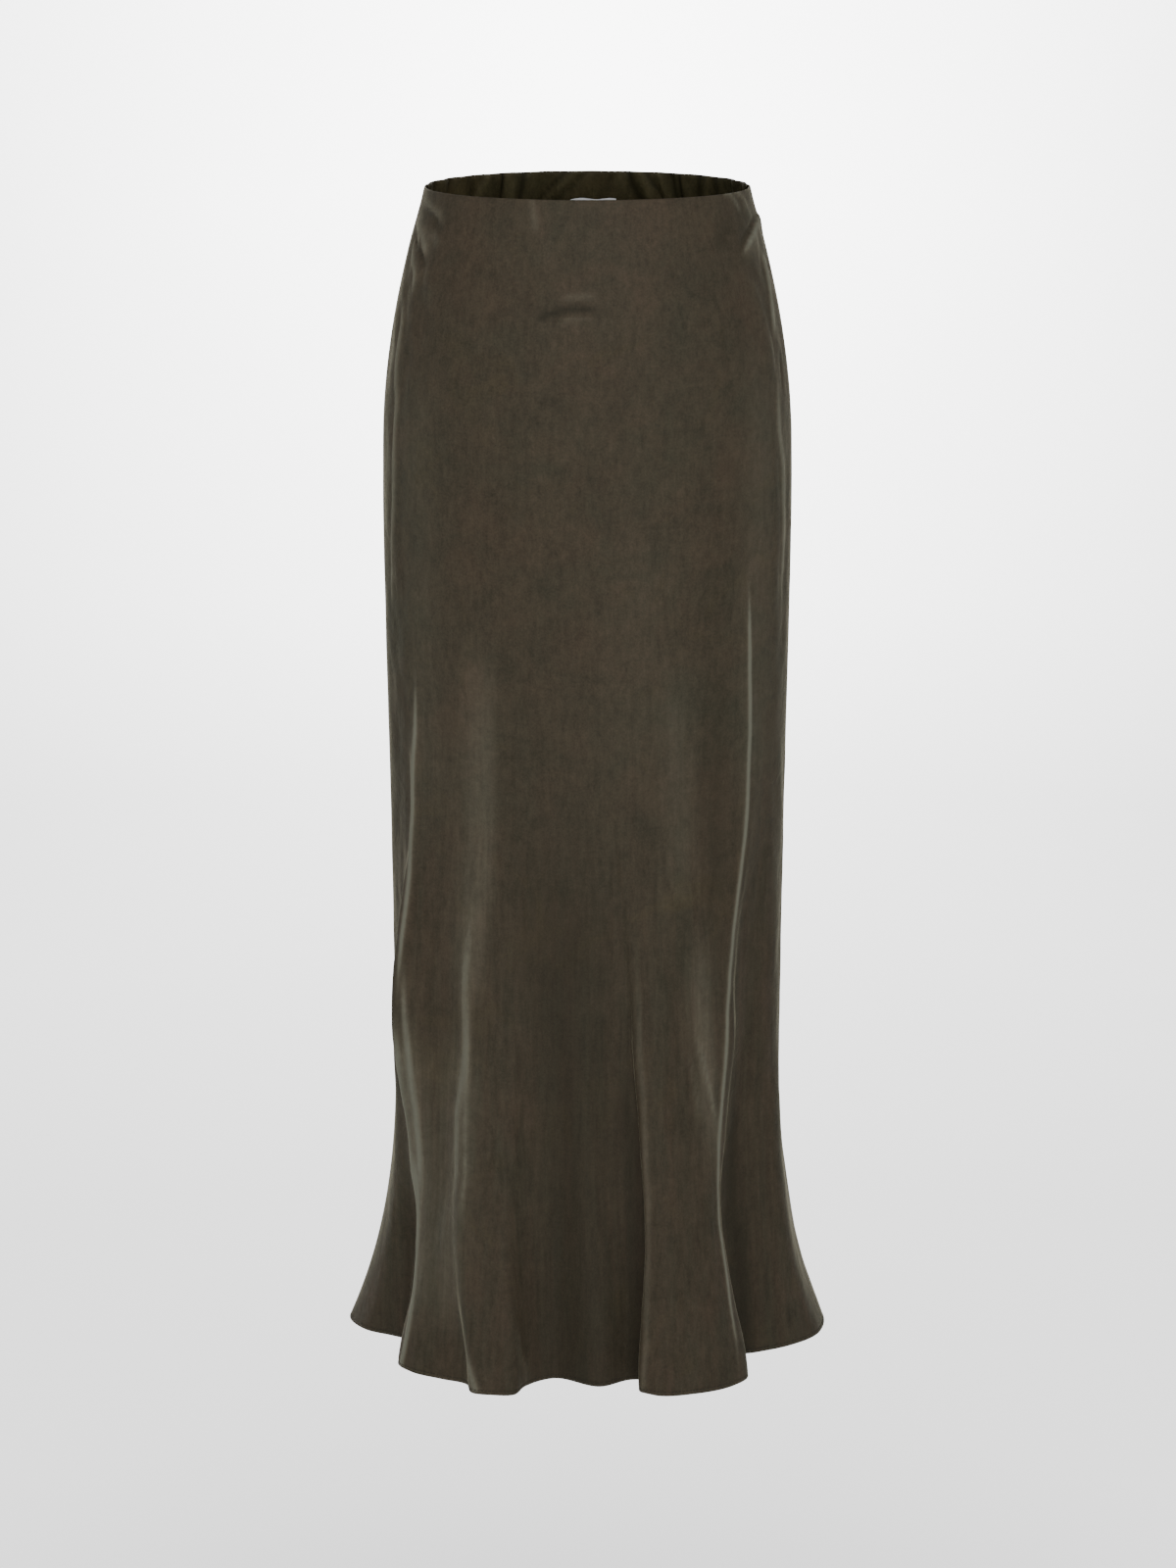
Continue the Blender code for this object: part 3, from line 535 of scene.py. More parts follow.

# The last value is painted light: painted highlight on folds, painted shade in their troughs.
CASING_FOLDS = (
    CasingFold(263.0, 90.0, 2.6, 0.0005, -0.30), CasingFold(255.0, -60.0, 3.4, -0.0009, -0.45),
    CasingFold(247.0, 120.0, 2.2, 0.0008, -0.10), CasingFold(241.0, -150.0, 1.6, -0.0007, -0.40),
    CasingFold(234.0, 260.0, 2.0, 0.0009, 0.10), CasingFold(226.0, 180.0, 2.4, -0.0008, -0.35),
    CasingFold(221.0, -220.0, 1.6, 0.0010, 0.30), CasingFold(216.0, 60.0, 1.6, -0.0006, -0.15),
    CasingFold(211.5, 40.0, 0.8, -0.0010, -0.85), CasingFold(208.0, 60.0, 1.9, 0.0011, 0.34),
    CasingFold(204.0, -40.0, 1.2, -0.0011, -0.70), CasingFold(199.0, 160.0, 2.4, 0.0006, 0.08),
    CasingFold(192.5, -420.0, 0.9, -0.0008, -0.45), CasingFold(189.0, -430.0, 1.0, 0.0008, 0.22),
    CasingFold(185.5, -420.0, 0.8, -0.0006, -0.35), CasingFold(179.0, 220.0, 2.4, 0.0007, 0.12),
    CasingFold(173.0, -160.0, 1.4, -0.0007, -0.25), CasingFold(168.0, 240.0, 1.8, 0.0006, 0.16),
    CasingFold(163.0, 180.0, 1.7, -0.0010, -0.62), CasingFold(159.0, 120.0, 1.6, 0.0010, 0.34),
    CasingFold(155.5, 260.0, 1.0, -0.0008, -0.48), CasingFold(151.5, 200.0, 1.5, 0.0009, 0.24),
    CasingFold(147.0, 60.0, 1.3, -0.0010, -0.60), CasingFold(144.4, 10.0, 0.7, -0.0009, -0.90),
    CasingFold(141.0, -80.0, 1.4, 0.0009, 0.06), CasingFold(136.5, -120.0, 1.8, -0.0009, -0.60),
    CasingFold(132.0, -260.0, 1.1, 0.0010, 0.28), CasingFold(126.0, -90.0, 2.4, -0.0008, -0.50),
    CasingFold(118.0, 140.0, 2.0, 0.0008, -0.20), CasingFold(111.0, -160.0, 2.4, -0.0009, -0.55),
    CasingFold(103.0, 120.0, 2.4, 0.0007, -0.35), CasingFold(97.0, -60.0, 2.2, -0.0006, -0.50),
)

# The middle of each is a turn; the columns stand closer round these crests.
FRONT_CRESTS = (Crowding(-56.0, 0.020, 3.2), Crowding(-31.8, 0.018, 2.6),
                Crowding(9.2, 0.012, 3.2), Crowding(47.8, 0.017, 3.6))
BACK_CRESTS = (Crowding(123.0, 0.018, 2.6), Crowding(157.5, 0.018, 2.6),
               Crowding(193.5, 0.018, 2.6), Crowding(232.0, 0.018, 2.6))

# Distance past the front's lap, and the tuck there as a share of the whole tuck.
FRONT_SEAM_STEPS = ((-0.0006, 1.0), (-0.0001, 0.86), (0.0003, 0.42), (0.0008, 0.10), (0.0016, 0.0))

# Distance from the back's edge, and the tuck there as a share of the cloth's thickness.
BACK_SEAM_STEPS = ((0.00012, 0.55), (0.00035, 0.15), (0.0009, 0.0), (0.0018, 0.0))

# Height (for the hem, above it), and the depth inside the face as a share of a layer.
FRONT_WAIST_ROWS = ((-0.0012, 1.0), (-0.0003, 0.75))
WAIST_ROWS = ((-0.0002, 0.35), (-0.0008, 0.1), (-0.0022, 0.0))
HEM_ROWS = ((0.0050, 0.0), (0.0039, 0.10), (0.0031, 0.36), (0.0024, 0.10), (0.0014, 0.0),
            (0.0006, 0.08), (0.0001, 0.35), (0.0001, 0.7), (0.0008, 1.0))

# Height in metres, and depth inside the face in millimetres.
CASING_PROFILE = (
    (-0.0026, 1.25), (-0.0010, 1.25), (0.0000, 1.40), (0.0005, 1.75), (0.0005, 2.30),
    (0.0000, 2.80), (-0.0009, 3.10), (-0.0024, 3.28), (-0.0042, 3.36), (-0.0065, 3.40),
    (-0.0100, 3.40), (-0.0135, 3.40), (-0.0170, 3.35), (-0.0200, 3.20), (-0.0222, 2.90),
    (-0.0234, 2.30), (-0.0238, 1.50),
)


# ---------------------------------------------------------------- the form of the cloth

def smooth_between(knots: Sequence[float], values: Sequence[float], at: Any) -> np.ndarray:
    """Read a smooth curve.

    Args:
        knots: Rising places of the known values.
        values: The values there.
        at: The places to read.

    Returns:
        The curve's values at those places.
    """
    knots = np.asarray(knots, float)
    values = np.asarray(values, float)
    slopes = np.gradient(values, knots)
    span = np.clip(np.searchsorted(knots, at, side="right") - 1, 0, len(knots) - 2)
    width = knots[span + 1] - knots[span]
    t = (at - knots[span]) / width
    start = (1 + 2 * t) * (1 - t) ** 2 * values[span] + t * (1 - t) ** 2 * width * slopes[span]
    end = t * t * (3 - 2 * t) * values[span + 1] + t * t * (t - 1) * width * slopes[span + 1]
    return start + end


def smooth_step(t: np.ndarray) -> np.ndarray:
    """Return an eased 0 to 1 for t from 0 to 1."""
    t = np.clip(t, 0.0, 1.0)
    return t * t * (3.0 - 2.0 * t)


def spaced(start: float, end: float, count: int, crowdings: Sequence[Crowding]) -> np.ndarray:
    """Space places unevenly, closer together round some spots.

    Args:
        start: The first place.
        end: The last place.
        count: How many places.
        crowdings: The spots.

    Returns:
        The places.
    """
    fine = np.linspace(start, end, FINE_STEPS)
    crowd = np.ones(len(fine))
    for spot in crowdings:
        crowd += (spot.closer - 1.0) * np.exp(-(((fine - spot.middle) / spot.reach) ** 2))
    travel = np.concatenate([[0.0], np.cumsum((crowd[1:] + crowd[:-1]) / 2.0)])
    return np.interp(np.linspace(0.0, travel[-1], count), travel, fine)


def flat_cloth(across: np.ndarray, heights: np.ndarray, inward: np.ndarray) -> np.ndarray:
    """Lay a turned profile out flat.

    Args:
        across: Each column's place across the cloth.
        heights: The rows' heights.
        inward: How far inside the face each row lies.

    Returns:
        A grid of places on the flat cloth, in metres.
    """
    down = np.concatenate([[0.0], np.cumsum(np.hypot(np.diff(heights), np.diff(inward)))])
    return np.stack(np.broadcast_arrays(across[None, :], -down[:, None]), axis=-1)


@dataclass
class SkirtForm:
    """The middle surface of the cloth, read at (along the hem, height)."""

    length: float = 0.950
    waist_lift: float = 0.0009
    lift_reach: float = 0.150
    gathers: int = 12
    gather_uneven: float = 7.0
    gather_drifts: tuple[tuple[float, float], ...] = ((5.0 * math.pi, 1.0), (11.0, 0.6))
    gather_at_edge: float = 0.0010
    gather_below: float = 0.0024
    gather_peak: float = -0.036
    gather_end: float = -0.150
    gather_ease: float = 1.5
    gather_sharpness: float = 0.4
    gather_sharpness_waves: float = 7.0
    gather_seam_rise: float = 4.0
    lean_height: float = -0.630
    sway_height: float = -0.805
    wander_reach: float = 0.150
    uneven: float = 0.00055
    uneven_waves: int = 18
    uneven_lengths: tuple[float, float] = (0.035, 0.110)
    uneven_slant: float = 0.9
    uneven_stretches: tuple[float, float] = (0.25, 0.8)
    uneven_seed: int = 12
    calm_at_seams: float = 0.030
    calm_at_waist: float = 0.040
    calm_at_hem: float = 0.020
    normal_step: float = 0.0005
    steps_per_knot: int = 6
    flanks_reached: float = 2.6
    creases: tuple[Crease, ...] = ()
    places: list[float] = field(default_factory=list)
    hem_round: float = 0.0

    def __post_init__(self) -> None:
        """Measure where the fold lines stand along the hem."""
        place = 0.0
        for line, after in zip(FOLDS, FOLDS[1:] + FOLDS[:1]):
            self.places.append(place)
            place += math.hypot(after.x - line.x, after.y - line.y)
        self.hem_round = place

    @property
    def hem(self) -> float:
        """Return the hem's height."""
        return -self.length

    @property
    def right_seam(self) -> float:
        """Return where the right side seam stands along the hem."""
        return self.places[[line.name for line in FOLDS].index("right seam crest")]

    def fold_value(self, column: str, along: Any) -> np.ndarray:
        """Read one column of the fold table, closed round the hem.

        Args:
            column: The field of Fold.
            along: Places along the hem.

        Returns:
            The smooth value there.
        """
        values = [getattr(line, column) for line in FOLDS]
        lap = 360.0 if column == "turn" else 0.0
        knots = [place + self.hem_round * turn for turn in (-1, 0, 1) for place in self.places]
        laps = [value + lap * turn for turn in (-1, 0, 1) for value in values]
        return smooth_between(knots, laps, along)

    def along_of(self, turn: Any) -> np.ndarray:
        """Return the place along the hem whose cloth line starts at a turn in degrees."""
        fine = np.linspace(-0.5 * self.hem_round, 1.5 * self.hem_round, FINE_STEPS)
        return np.interp(turn, self.fold_value("turn", fine), fine)

    def body_ring(self, turn: Any, height: Any) -> tuple[np.ndarray, np.ndarray]:
        """Read the smooth body under the cloth.

        Args:
            turn: Angles round the waist, in degrees.
            height: Heights.

        Returns:
            x and y of the ring there.
        """
        rings = RINGS[::-1]
        heights = [ring.height for ring in rings]
        half, front, back, square = (
            smooth_between(heights, [getattr(ring, column) for ring in rings], height)
            for column in ("half_width", "front", "back", "square")
        )
        side, ahead = np.sin(np.radians(turn)), np.cos(np.radians(turn))
        depth = np.where(ahead > 0, front, back)
        x = half * np.sign(side) * np.abs(side) ** (2.0 / square)
        y = -depth * np.sign(ahead) * np.abs(ahead) ** (2.0 / square)
        return x, y

    def gather(self, turn: Any, height: Any) -> np.ndarray:
        """Find how far the gathers of the elastic back push the cloth outwards.

        Args:
            turn: Angles round the waist, in degrees.
            height: Heights.

        Returns:
            The push in metres, which is 0 on the front.
        """
        across = np.clip((turn - 90.0) / 180.0, 0.0, 1.0)
        drift = sum(share * np.sin(pace * across) for pace, share in self.gather_drifts)
        wander = self.gather_uneven / 180.0 * drift
        place = across + wander * across * (1.0 - across) * 2.0
        wave = np.cos(2.0 * math.pi * self.gathers * place)
        fade_in = np.clip(height / self.gather_peak, 0.0, 1.0)
        fade_out = (height - self.gather_end) / (self.gather_peak - self.gather_end)
        fade_out = np.clip(fade_out, 0.0, 1.0) ** self.gather_ease
        depth = self.gather_at_edge + (self.gather_below - self.gather_at_edge) * fade_in
        at_seams = np.clip(np.sin(math.pi * across) * self.gather_seam_rise, 0.0, 1.0)
        sharper = self.gather_sharpness * np.cos(self.gather_sharpness_waves * across)
        return depth * fade_out * at_seams * (wave - sharper * wave ** 2)

    def wander(self, height: Any, middle: float) -> np.ndarray:
        """Return 1 at the middle of a sideways shift, and 0 past its reach."""
        return np.clip(1.0 - ((height - middle) / self.wander_reach) ** 2, 0.0, 1.0) ** 2

    def place(self, along: Any, height: Any, gathered: bool = True) -> np.ndarray:
        """Return points of the middle surface.

        Args:
            along: Places along the hem.
            height: Heights.
            gathered: Whether the back's gathers show.

        Returns:
            The points, in a last axis of three.
        """
        along, height = np.broadcast_arrays(np.asarray(along, float), np.asarray(height, float))
        turn = self.fold_value("turn", along)
        body_x, body_y = self.body_ring(turn, height)
        hem_x, hem_y = self.body_ring(turn, self.hem)
        above_hem = (height - self.hem) / self.fold_value("rise", along)
        grown = np.clip(1.0 - above_hem, 0.0, 1.0) ** self.fold_value("ease", along)
        shift = self.fold_value("lean", along) * self.wander(height, self.lean_height)
        shift = shift + self.fold_value("sway", along) * self.wander(height, self.sway_height)
        x = body_x + grown * (self.fold_value("x", along) - hem_x) + shift
        y = body_y + grown * (self.fold_value("y", along) - hem_y)
        out = self.gather(np.where(turn < -90.0, turn + 360.0, turn), height) if gathered else 0.0
        reach = np.hypot(body_x, body_y)
        x, y = x + out * body_x / reach, y + out * body_y / reach
        fade = np.clip(1.0 + height / self.lift_reach, 0.0, 1.0)
        lift = self.waist_lift * np.clip(np.cos(np.radians(turn)), 0.0, 1.0) * fade
        return np.stack([x, y, height + lift], axis=-1)

    def normal(self, along: Any, height: Any, gathered: bool = True) -> np.ndarray:
        """Return the outward unit normals of the middle surface.

        Args:
            along: Places along the hem.
            height: Heights.
            gathered: Whether the back's gathers show.

        Returns:
            The normals, in a last axis of three.
        """
        step = self.normal_step
        along, height = np.broadcast_arrays(np.asarray(along, float), np.asarray(height, float))
        before, after = (self.place(along + way, height, gathered) for way in (-step, step))
        below, above = (self.place(along, height + way, gathered) for way in (-step, step))
        normal = np.cross(after - before, above - below)
        return normal / np.linalg.norm(normal, axis=-1, keepdims=True)

    def unevenness(self, along: np.ndarray, height: np.ndarray) -> np.ndarray:
        """Return the slow wavering of the cloth, which dies out at the seams and both edges.

        Args:
            along: Places along the hem.
            height: Heights.

        Returns:
            The lift in metres.
        """
        generator = np.random.default_rng(self.uneven_seed)
        lift = np.zeros(along.shape)
        for _ in range(self.uneven_waves):
            length = generator.uniform(*self.uneven_lengths)
            slant = generator.uniform(-self.uneven_slant, self.uneven_slant)
            phase = generator.uniform(0.0, 2.0 * math.pi)
            stretch = generator.uniform(*self.uneven_stretches)
            swing = 2.0 * math.pi * (along + slant * stretch * height) / length
            climb = 2.0 * math.pi * stretch * height / length
            lift += np.sin(swing + phase) * np.sin(climb + 2.0 * phase)
        off_seam = np.minimum(np.abs(along), np.abs(along - self.right_seam))
        off_seam = np.minimum(off_seam, np.abs(self.hem_round - along))
        calm = smooth_step(off_seam / self.calm_at_seams) * smooth_step(-height / self.calm_at_waist)
        calm = calm * smooth_step((height - self.hem) / self.calm_at_hem)
        return self.uneven * lift * calm / math.sqrt(self.uneven_waves)

    def with_painted_light(self, points: np.ndarray, normals: np.ndarray) -> tuple[np.ndarray, np.ndarray]:
        """Return how far the creases lift each point, and the light they paint there: painted
        highlight above zero, painted shade below.

        Args:
            points: Points of the middle surface.
            normals: Their normals.

        Returns:
            The lift in metres, and the painted light.
        """
        flat, facing = points.reshape(-1, 3), normals.reshape(-1, 3)
        lift, painted_light = np.zeros(len(flat)), np.zeros(len(flat))
        for crease in self.creases:
            near, strength = self.crease_strength(crease, flat, facing)
            lift[near] += crease.depth * strength
            painted_light[near] += crease.painted_light * strength
        return lift.reshape(points.shape[:-1]), painted_light.reshape(points.shape[:-1])

    def crease_line(self, crease: Crease) -> np.ndarray:
        """Lay a crease's path on the middle surface.

        Args:
            crease: The crease.

        Returns:
            Points close together along it.
        """
        turns, heights = (np.array(column) for column in zip(*crease.path))
        knots = np.arange(len(turns), dtype=float)
        fine = np.linspace(0.0, knots[-1], self.steps_per_knot * (len(knots) - 1) + 1)
        along = self.along_of(smooth_between(knots, turns, fine))
        return self.place(along, smooth_between(knots, heights, fine))

    def crease_strength(self, crease: Crease, points: np.ndarray,
                        normals: np.ndarray) -> tuple[np.ndarray, np.ndarray]:
        """Return which points a crease reaches, and its strength from 0 to 1 at each.

        Args:
            crease: The crease.
            points: Points of the middle surface.
            normals: Their normals.

        Returns:
            The points' indices, and the strength there.
        """
        line = self.crease_line(crease)
        lengths = np.linalg.norm(np.diff(line, axis=0), axis=1)
        travelled = np.concatenate([[0.0], np.cumsum(lengths)]) / lengths.sum()
        reach = self.flanks_reached * max(crease.left, crease.right)
        low, high = line.min(axis=0) - reach, line.max(axis=0) + reach
        near = np.flatnonzero(((points > low) & (points < high)).all(axis=1))
        here, facing = points[near], normals[near]
        nearest = np.full(len(near), np.inf)
        signed, run = np.zeros(len(near)), np.zeros(len(near))
        for index, (start, end) in enumerate(zip(line, line[1:])):
            step = end - start
            t = np.clip((here - start) @ step / (step @ step), 0.0, 1.0)
            away = here - (start + t[:, None] * step)
            distance = np.linalg.norm(away, axis=1)
            closer = distance < nearest
            rightwards = np.cross(step / np.linalg.norm(step), facing)
            side = np.sign((away * rightwards).sum(axis=1))
            nearest = np.where(closer, distance, nearest)
            signed = np.where(closer, side * distance, signed)
            here_run = travelled[index] + t * (travelled[index + 1] - travelled[index])
            run = np.where(closer, here_run, run)
        flank = np.where(signed < 0, crease.left, crease.right)
        fade = np.ones(len(near))
        if crease.ends in (Ends.BOTH, Ends.START):
            fade *= smooth_step(run / crease.fade)
        if crease.ends in (Ends.BOTH, Ends.FINISH):
            fade *= smooth_step((1.0 - run) / crease.fade)
        return near, fade * np.exp(-((nearest / flank) ** 2))

    def cloth(self, along: Any, height: Any, inward: Any = 0.0) -> tuple[np.ndarray, np.ndarray]:
        """Return the creased cloth as it lies.

        Args:
            along: Places along the hem.
            height: Heights.
            inward: How far inside the middle surface.

        Returns:
            The points, in a last axis of three, and the painted light of each.
        """
        here = self.place(along, height)
        normal = self.normal(along, height)
        lift, painted_light = self.with_painted_light(here, normal)
        lift = lift + self.unevenness(*np.broadcast_arrays(along, height))
        return here + (lift - inward)[..., None] * normal, painted_light

    def smooth_cloth(self, along: Any, height: Any, inward: Any) -> np.ndarray:
        """Return points of the cloth without its gathers and creases.

        Args:
            along: Places along the hem.
            height: Heights.
            inward: How far inside the middle surface.

        Returns:
            The points, in a last axis of three.
        """
        here = self.place(along, height, gathered=False)
        return here - np.asarray(inward)[..., None] * self.normal(along, height, gathered=False)


# ---------------------------------------------------------------- shaders

@dataclass(frozen=True)
class Grain:
    """A noise; a stretched one is turned about Y by an angle in degrees, and scaled."""

    scale: float
    detail: float
    rough: float = 0.5
    distortion: float = 0.0
    angle: float = 0.0
    stretch: Optional[tuple[float, float, float]] = None


CLOUDS = Grain(5.6, 3.0, 0.55, 0.8)
PATCHES = Grain(27.0, 3.0, 0.60, 0.9)
MOTTLE = Grain(140.0, 4.0, 0.62, 0.7)
STREAKS = Grain(1.0, 3.0, 0.62, 0.3, 4.0, (74.0, 74.0, 4.6))
LINES = Grain(1.0, 3.0, 0.6, 0.2, 2.0, (250.0, 250.0, 11.0))
OCHRE_SPOTS = Grain(15.0, 4.0, 0.65, 1.0)
CROSS_FIBRES = Grain(1.0, 3.0, 0.6, 0.3, 43.0, (240.0, 240.0, 52.0))
COUNTER_FIBRES = Grain(1.0, 3.0, 0.6, 0.3, -38.0, (240.0, 240.0, 52.0))
FINE_GRAIN = Grain(640.0, 2.0, 0.6)
CRUMPLES = Grain(46.0, 5.0, 0.6, 0.9)
CRINKLES = Grain(1.0, 4.0, 0.6, 0.4, 38.0, (230.0, 230.0, 90.0))
CROSS_CRINKLES = Grain(1.0, 3.0, 0.6, 0.4, -41.0, (210.0, 210.0, 80.0))
RIPPLES = Grain(1.0, 3.0, 0.5, 0.2, 0.0, (110.0, 110.0, 9.0))
FUZZ = Grain(900.0, 2.0)
TWIST = Grain(1800.0, 2.0)


Level = Union["Signal", float]


class Signal:
    """A shader socket that takes part in Python expressions."""

    def __init__(self, graph: "Graph", socket: bpy.types.NodeSocket) -> None:
        """Keep the socket and the graph that it belongs to."""
        self.graph = graph
        self.socket = socket

    def combine(self, operation: str, first: Level, second: Level) -> "Signal":
        """Return a Math node's result."""
        node = self.graph.node("ShaderNodeMath", {"operation": operation}, {0: first, 1: second})
        return Signal(self.graph, node.outputs[0])

    def __add__(self, other: Level) -> "Signal":
        """Return self + other."""
        return self.combine("ADD", self, other)

    def __radd__(self, other: Level) -> "Signal":
        """Return other + self."""
        return self.combine("ADD", other, self)

    def __sub__(self, other: Level) -> "Signal":
        """Return self - other."""
        return self.combine("SUBTRACT", self, other)

    def __rsub__(self, other: Level) -> "Signal":
        """Return other - self."""
        return self.combine("SUBTRACT", other, self)

    def __mul__(self, other: Level) -> "Signal":
        """Return self * other."""
        return self.combine("MULTIPLY", self, other)

    def __truediv__(self, other: Level) -> "Signal":
        """Return self / other."""
        return self.combine("DIVIDE", self, other)

    def __pow__(self, other: Level) -> "Signal":
        """Return self ** other."""
        return self.combine("POWER", self, other)

    def __abs__(self) -> "Signal":
        """Return the value without its sign."""
        return self.combine("ABSOLUTE", self, 0.0)

    def most(self, other: Level) -> "Signal":
        """Return the larger of the two."""
        return self.combine("MAXIMUM", self, other)

    def least(self, other: Level) -> "Signal":
        """Return the smaller of the two."""
        return self.combine("MINIMUM", self, other)

    def between(self, low: float, high: float) -> "Signal":
        """Return 0 at low and 1 at high, held at both ends."""
        return ((self - low) / (high - low)).most(0.0).least(1.0)


class Graph:
    """A material's node tree."""

    COLOUR_MIX_INPUTS = (0, 6, 7)
    COLOUR_MIX_OUTPUT = 2

    def __init__(self, name: str) -> None:
        """Start a material with a Principled shader.

        Args:
            name: The material's name.
        """
        self.material = bpy.data.materials.new(name)
        self.material.use_nodes = True
        self.tree = self.material.node_tree
        self.shader = self.tree.nodes["Principled BSDF"]

    def node(self, kind: str, settings: Optional[dict[str, Any]] = None,
             sockets: Optional[dict[Union[str, int], Any]] = None) -> bpy.types.Node:
        """Add a node.

        Args:
            kind: The node's type.
            settings: Its properties, and a ramp's stops, set first.
            sockets: Values or links of its inputs.

        Returns:
            The node.
        """
        node = self.tree.nodes.new(kind)
        for key, value in (settings or {}).items():
            if key == "stops":
                self.set_stops(node.color_ramp, value)
            else:
                setattr(node, key, value)
        for key, value in (sockets or {}).items():
            self.feed(node.inputs[key], value)
        return node

    @staticmethod
    def set_stops(ramp: bpy.types.ColorRamp, stops: Sequence[tuple[float, float]]) -> None:
        """Give a ramp its grey stops.

        Args:
            ramp: The ramp.
            stops: Each stop's place and grey.
        """
        while len(ramp.elements) < len(stops):
            ramp.elements.new(1.0)
        for element, (position, level) in zip(ramp.elements, stops):
            element.position = position
            element.color = (level, level, level, 1.0)

    def feed(self, socket: bpy.types.NodeSocket, value: Any) -> None:
        """Link a signal to a socket, or set the socket's own value.

        Args:
            socket: The socket.
            value: The signal or the value.
        """
        if isinstance(value, Signal):
            self.tree.links.new(value.socket, socket)
        else:
            socket.default_value = value

    def out(self, node: bpy.types.Node, name: Union[str, int] = 0) -> Signal:
        """Return a node's output."""
        return Signal(self, node.outputs[name])

    def mix(self, settings: dict[str, Any], factor: Any, first: Any, second: Any) -> Signal:
        """Mix two colours.

        Args:
            settings: How they mix.
            factor: The second colour's share.
            first: A colour or a signal.
            second: A colour or a signal.

        Returns:
            The mixed colour.
        """
        node = self.node("ShaderNodeMix", {"data_type": "RGBA", **settings})
        for index, value in zip(self.COLOUR_MIX_INPUTS, (factor, first, second)):
            self.feed(node.inputs[index], value)
        return self.out(node, self.COLOUR_MIX_OUTPUT)

    def blend(self, factor: Any, first: Any, second: Any) -> Signal:
        """Return a mix of two colours by a factor from 0 to 1."""
        return self.mix({}, factor, first, second)

    def times(self, first: Any, second: Any) -> Signal:
        """Return the product of two colours."""
        return self.mix({"blend_type": "MULTIPLY"}, 1.0, first, second)

    def stretched(self, where: Signal, angle: float, scale: Sequence[float]) -> Signal:
        """Turn coordinates about Y and scale them.

        Args:
            where: The coordinates.
            angle: The turn in degrees.
            scale: The scale along each axis.

        Returns:
            The new coordinates.
        """
        turned = (0.0, math.radians(angle), 0.0)
        return self.out(self.node("ShaderNodeMapping", None, {
            "Vector": where, "Rotation": turned, "Scale": tuple(scale),
        }))

    def noise(self, where: Signal, grain: Grain) -> Signal:
        """Add a noise.

        Args:
            where: The coordinates.
            grain: What the noise is like.

        Returns:
            The noise, from 0 to 1.
        """
        if grain.stretch is not None:
            where = self.stretched(where, grain.angle, grain.stretch)
        return self.out(self.node("ShaderNodeTexNoise", None, {
            "Vector": where, "Scale": grain.scale, "Detail": grain.detail,
            "Roughness": grain.rough, "Distortion": grain.distortion,
        }))

    def bump(self, height: Any, distance: float, strength: float = 1.0,
             normal: Optional[Signal] = None) -> Signal:
        """Add a bump.

        Args:
            height: The relief, from 0 to 1.
            distance: How high it stands, in metres.
            strength: Its share.
            normal: The bumped normal under it.

        Returns:
            The bumped normal.
        """
        node = self.node("ShaderNodeBump", None, {
            "Height": height, "Distance": distance, "Strength": strength,
        })
        if normal is not None:
            self.feed(node.inputs["Normal"], normal)
        return self.out(node)

    def finished(self, sockets: dict[str, Any]) -> bpy.types.Material:
        """Feed the shader.

        Args:
            sockets: Values or signals of the shader's inputs.

        Returns:
            The material.
        """
        for name, value in sockets.items():
            self.feed(self.shader.inputs[name], value)
        return self.material


def grey(level: float) -> tuple[float, float, float, float]:
    """Return a grey of a level."""
    return (level, level, level, 1.0)


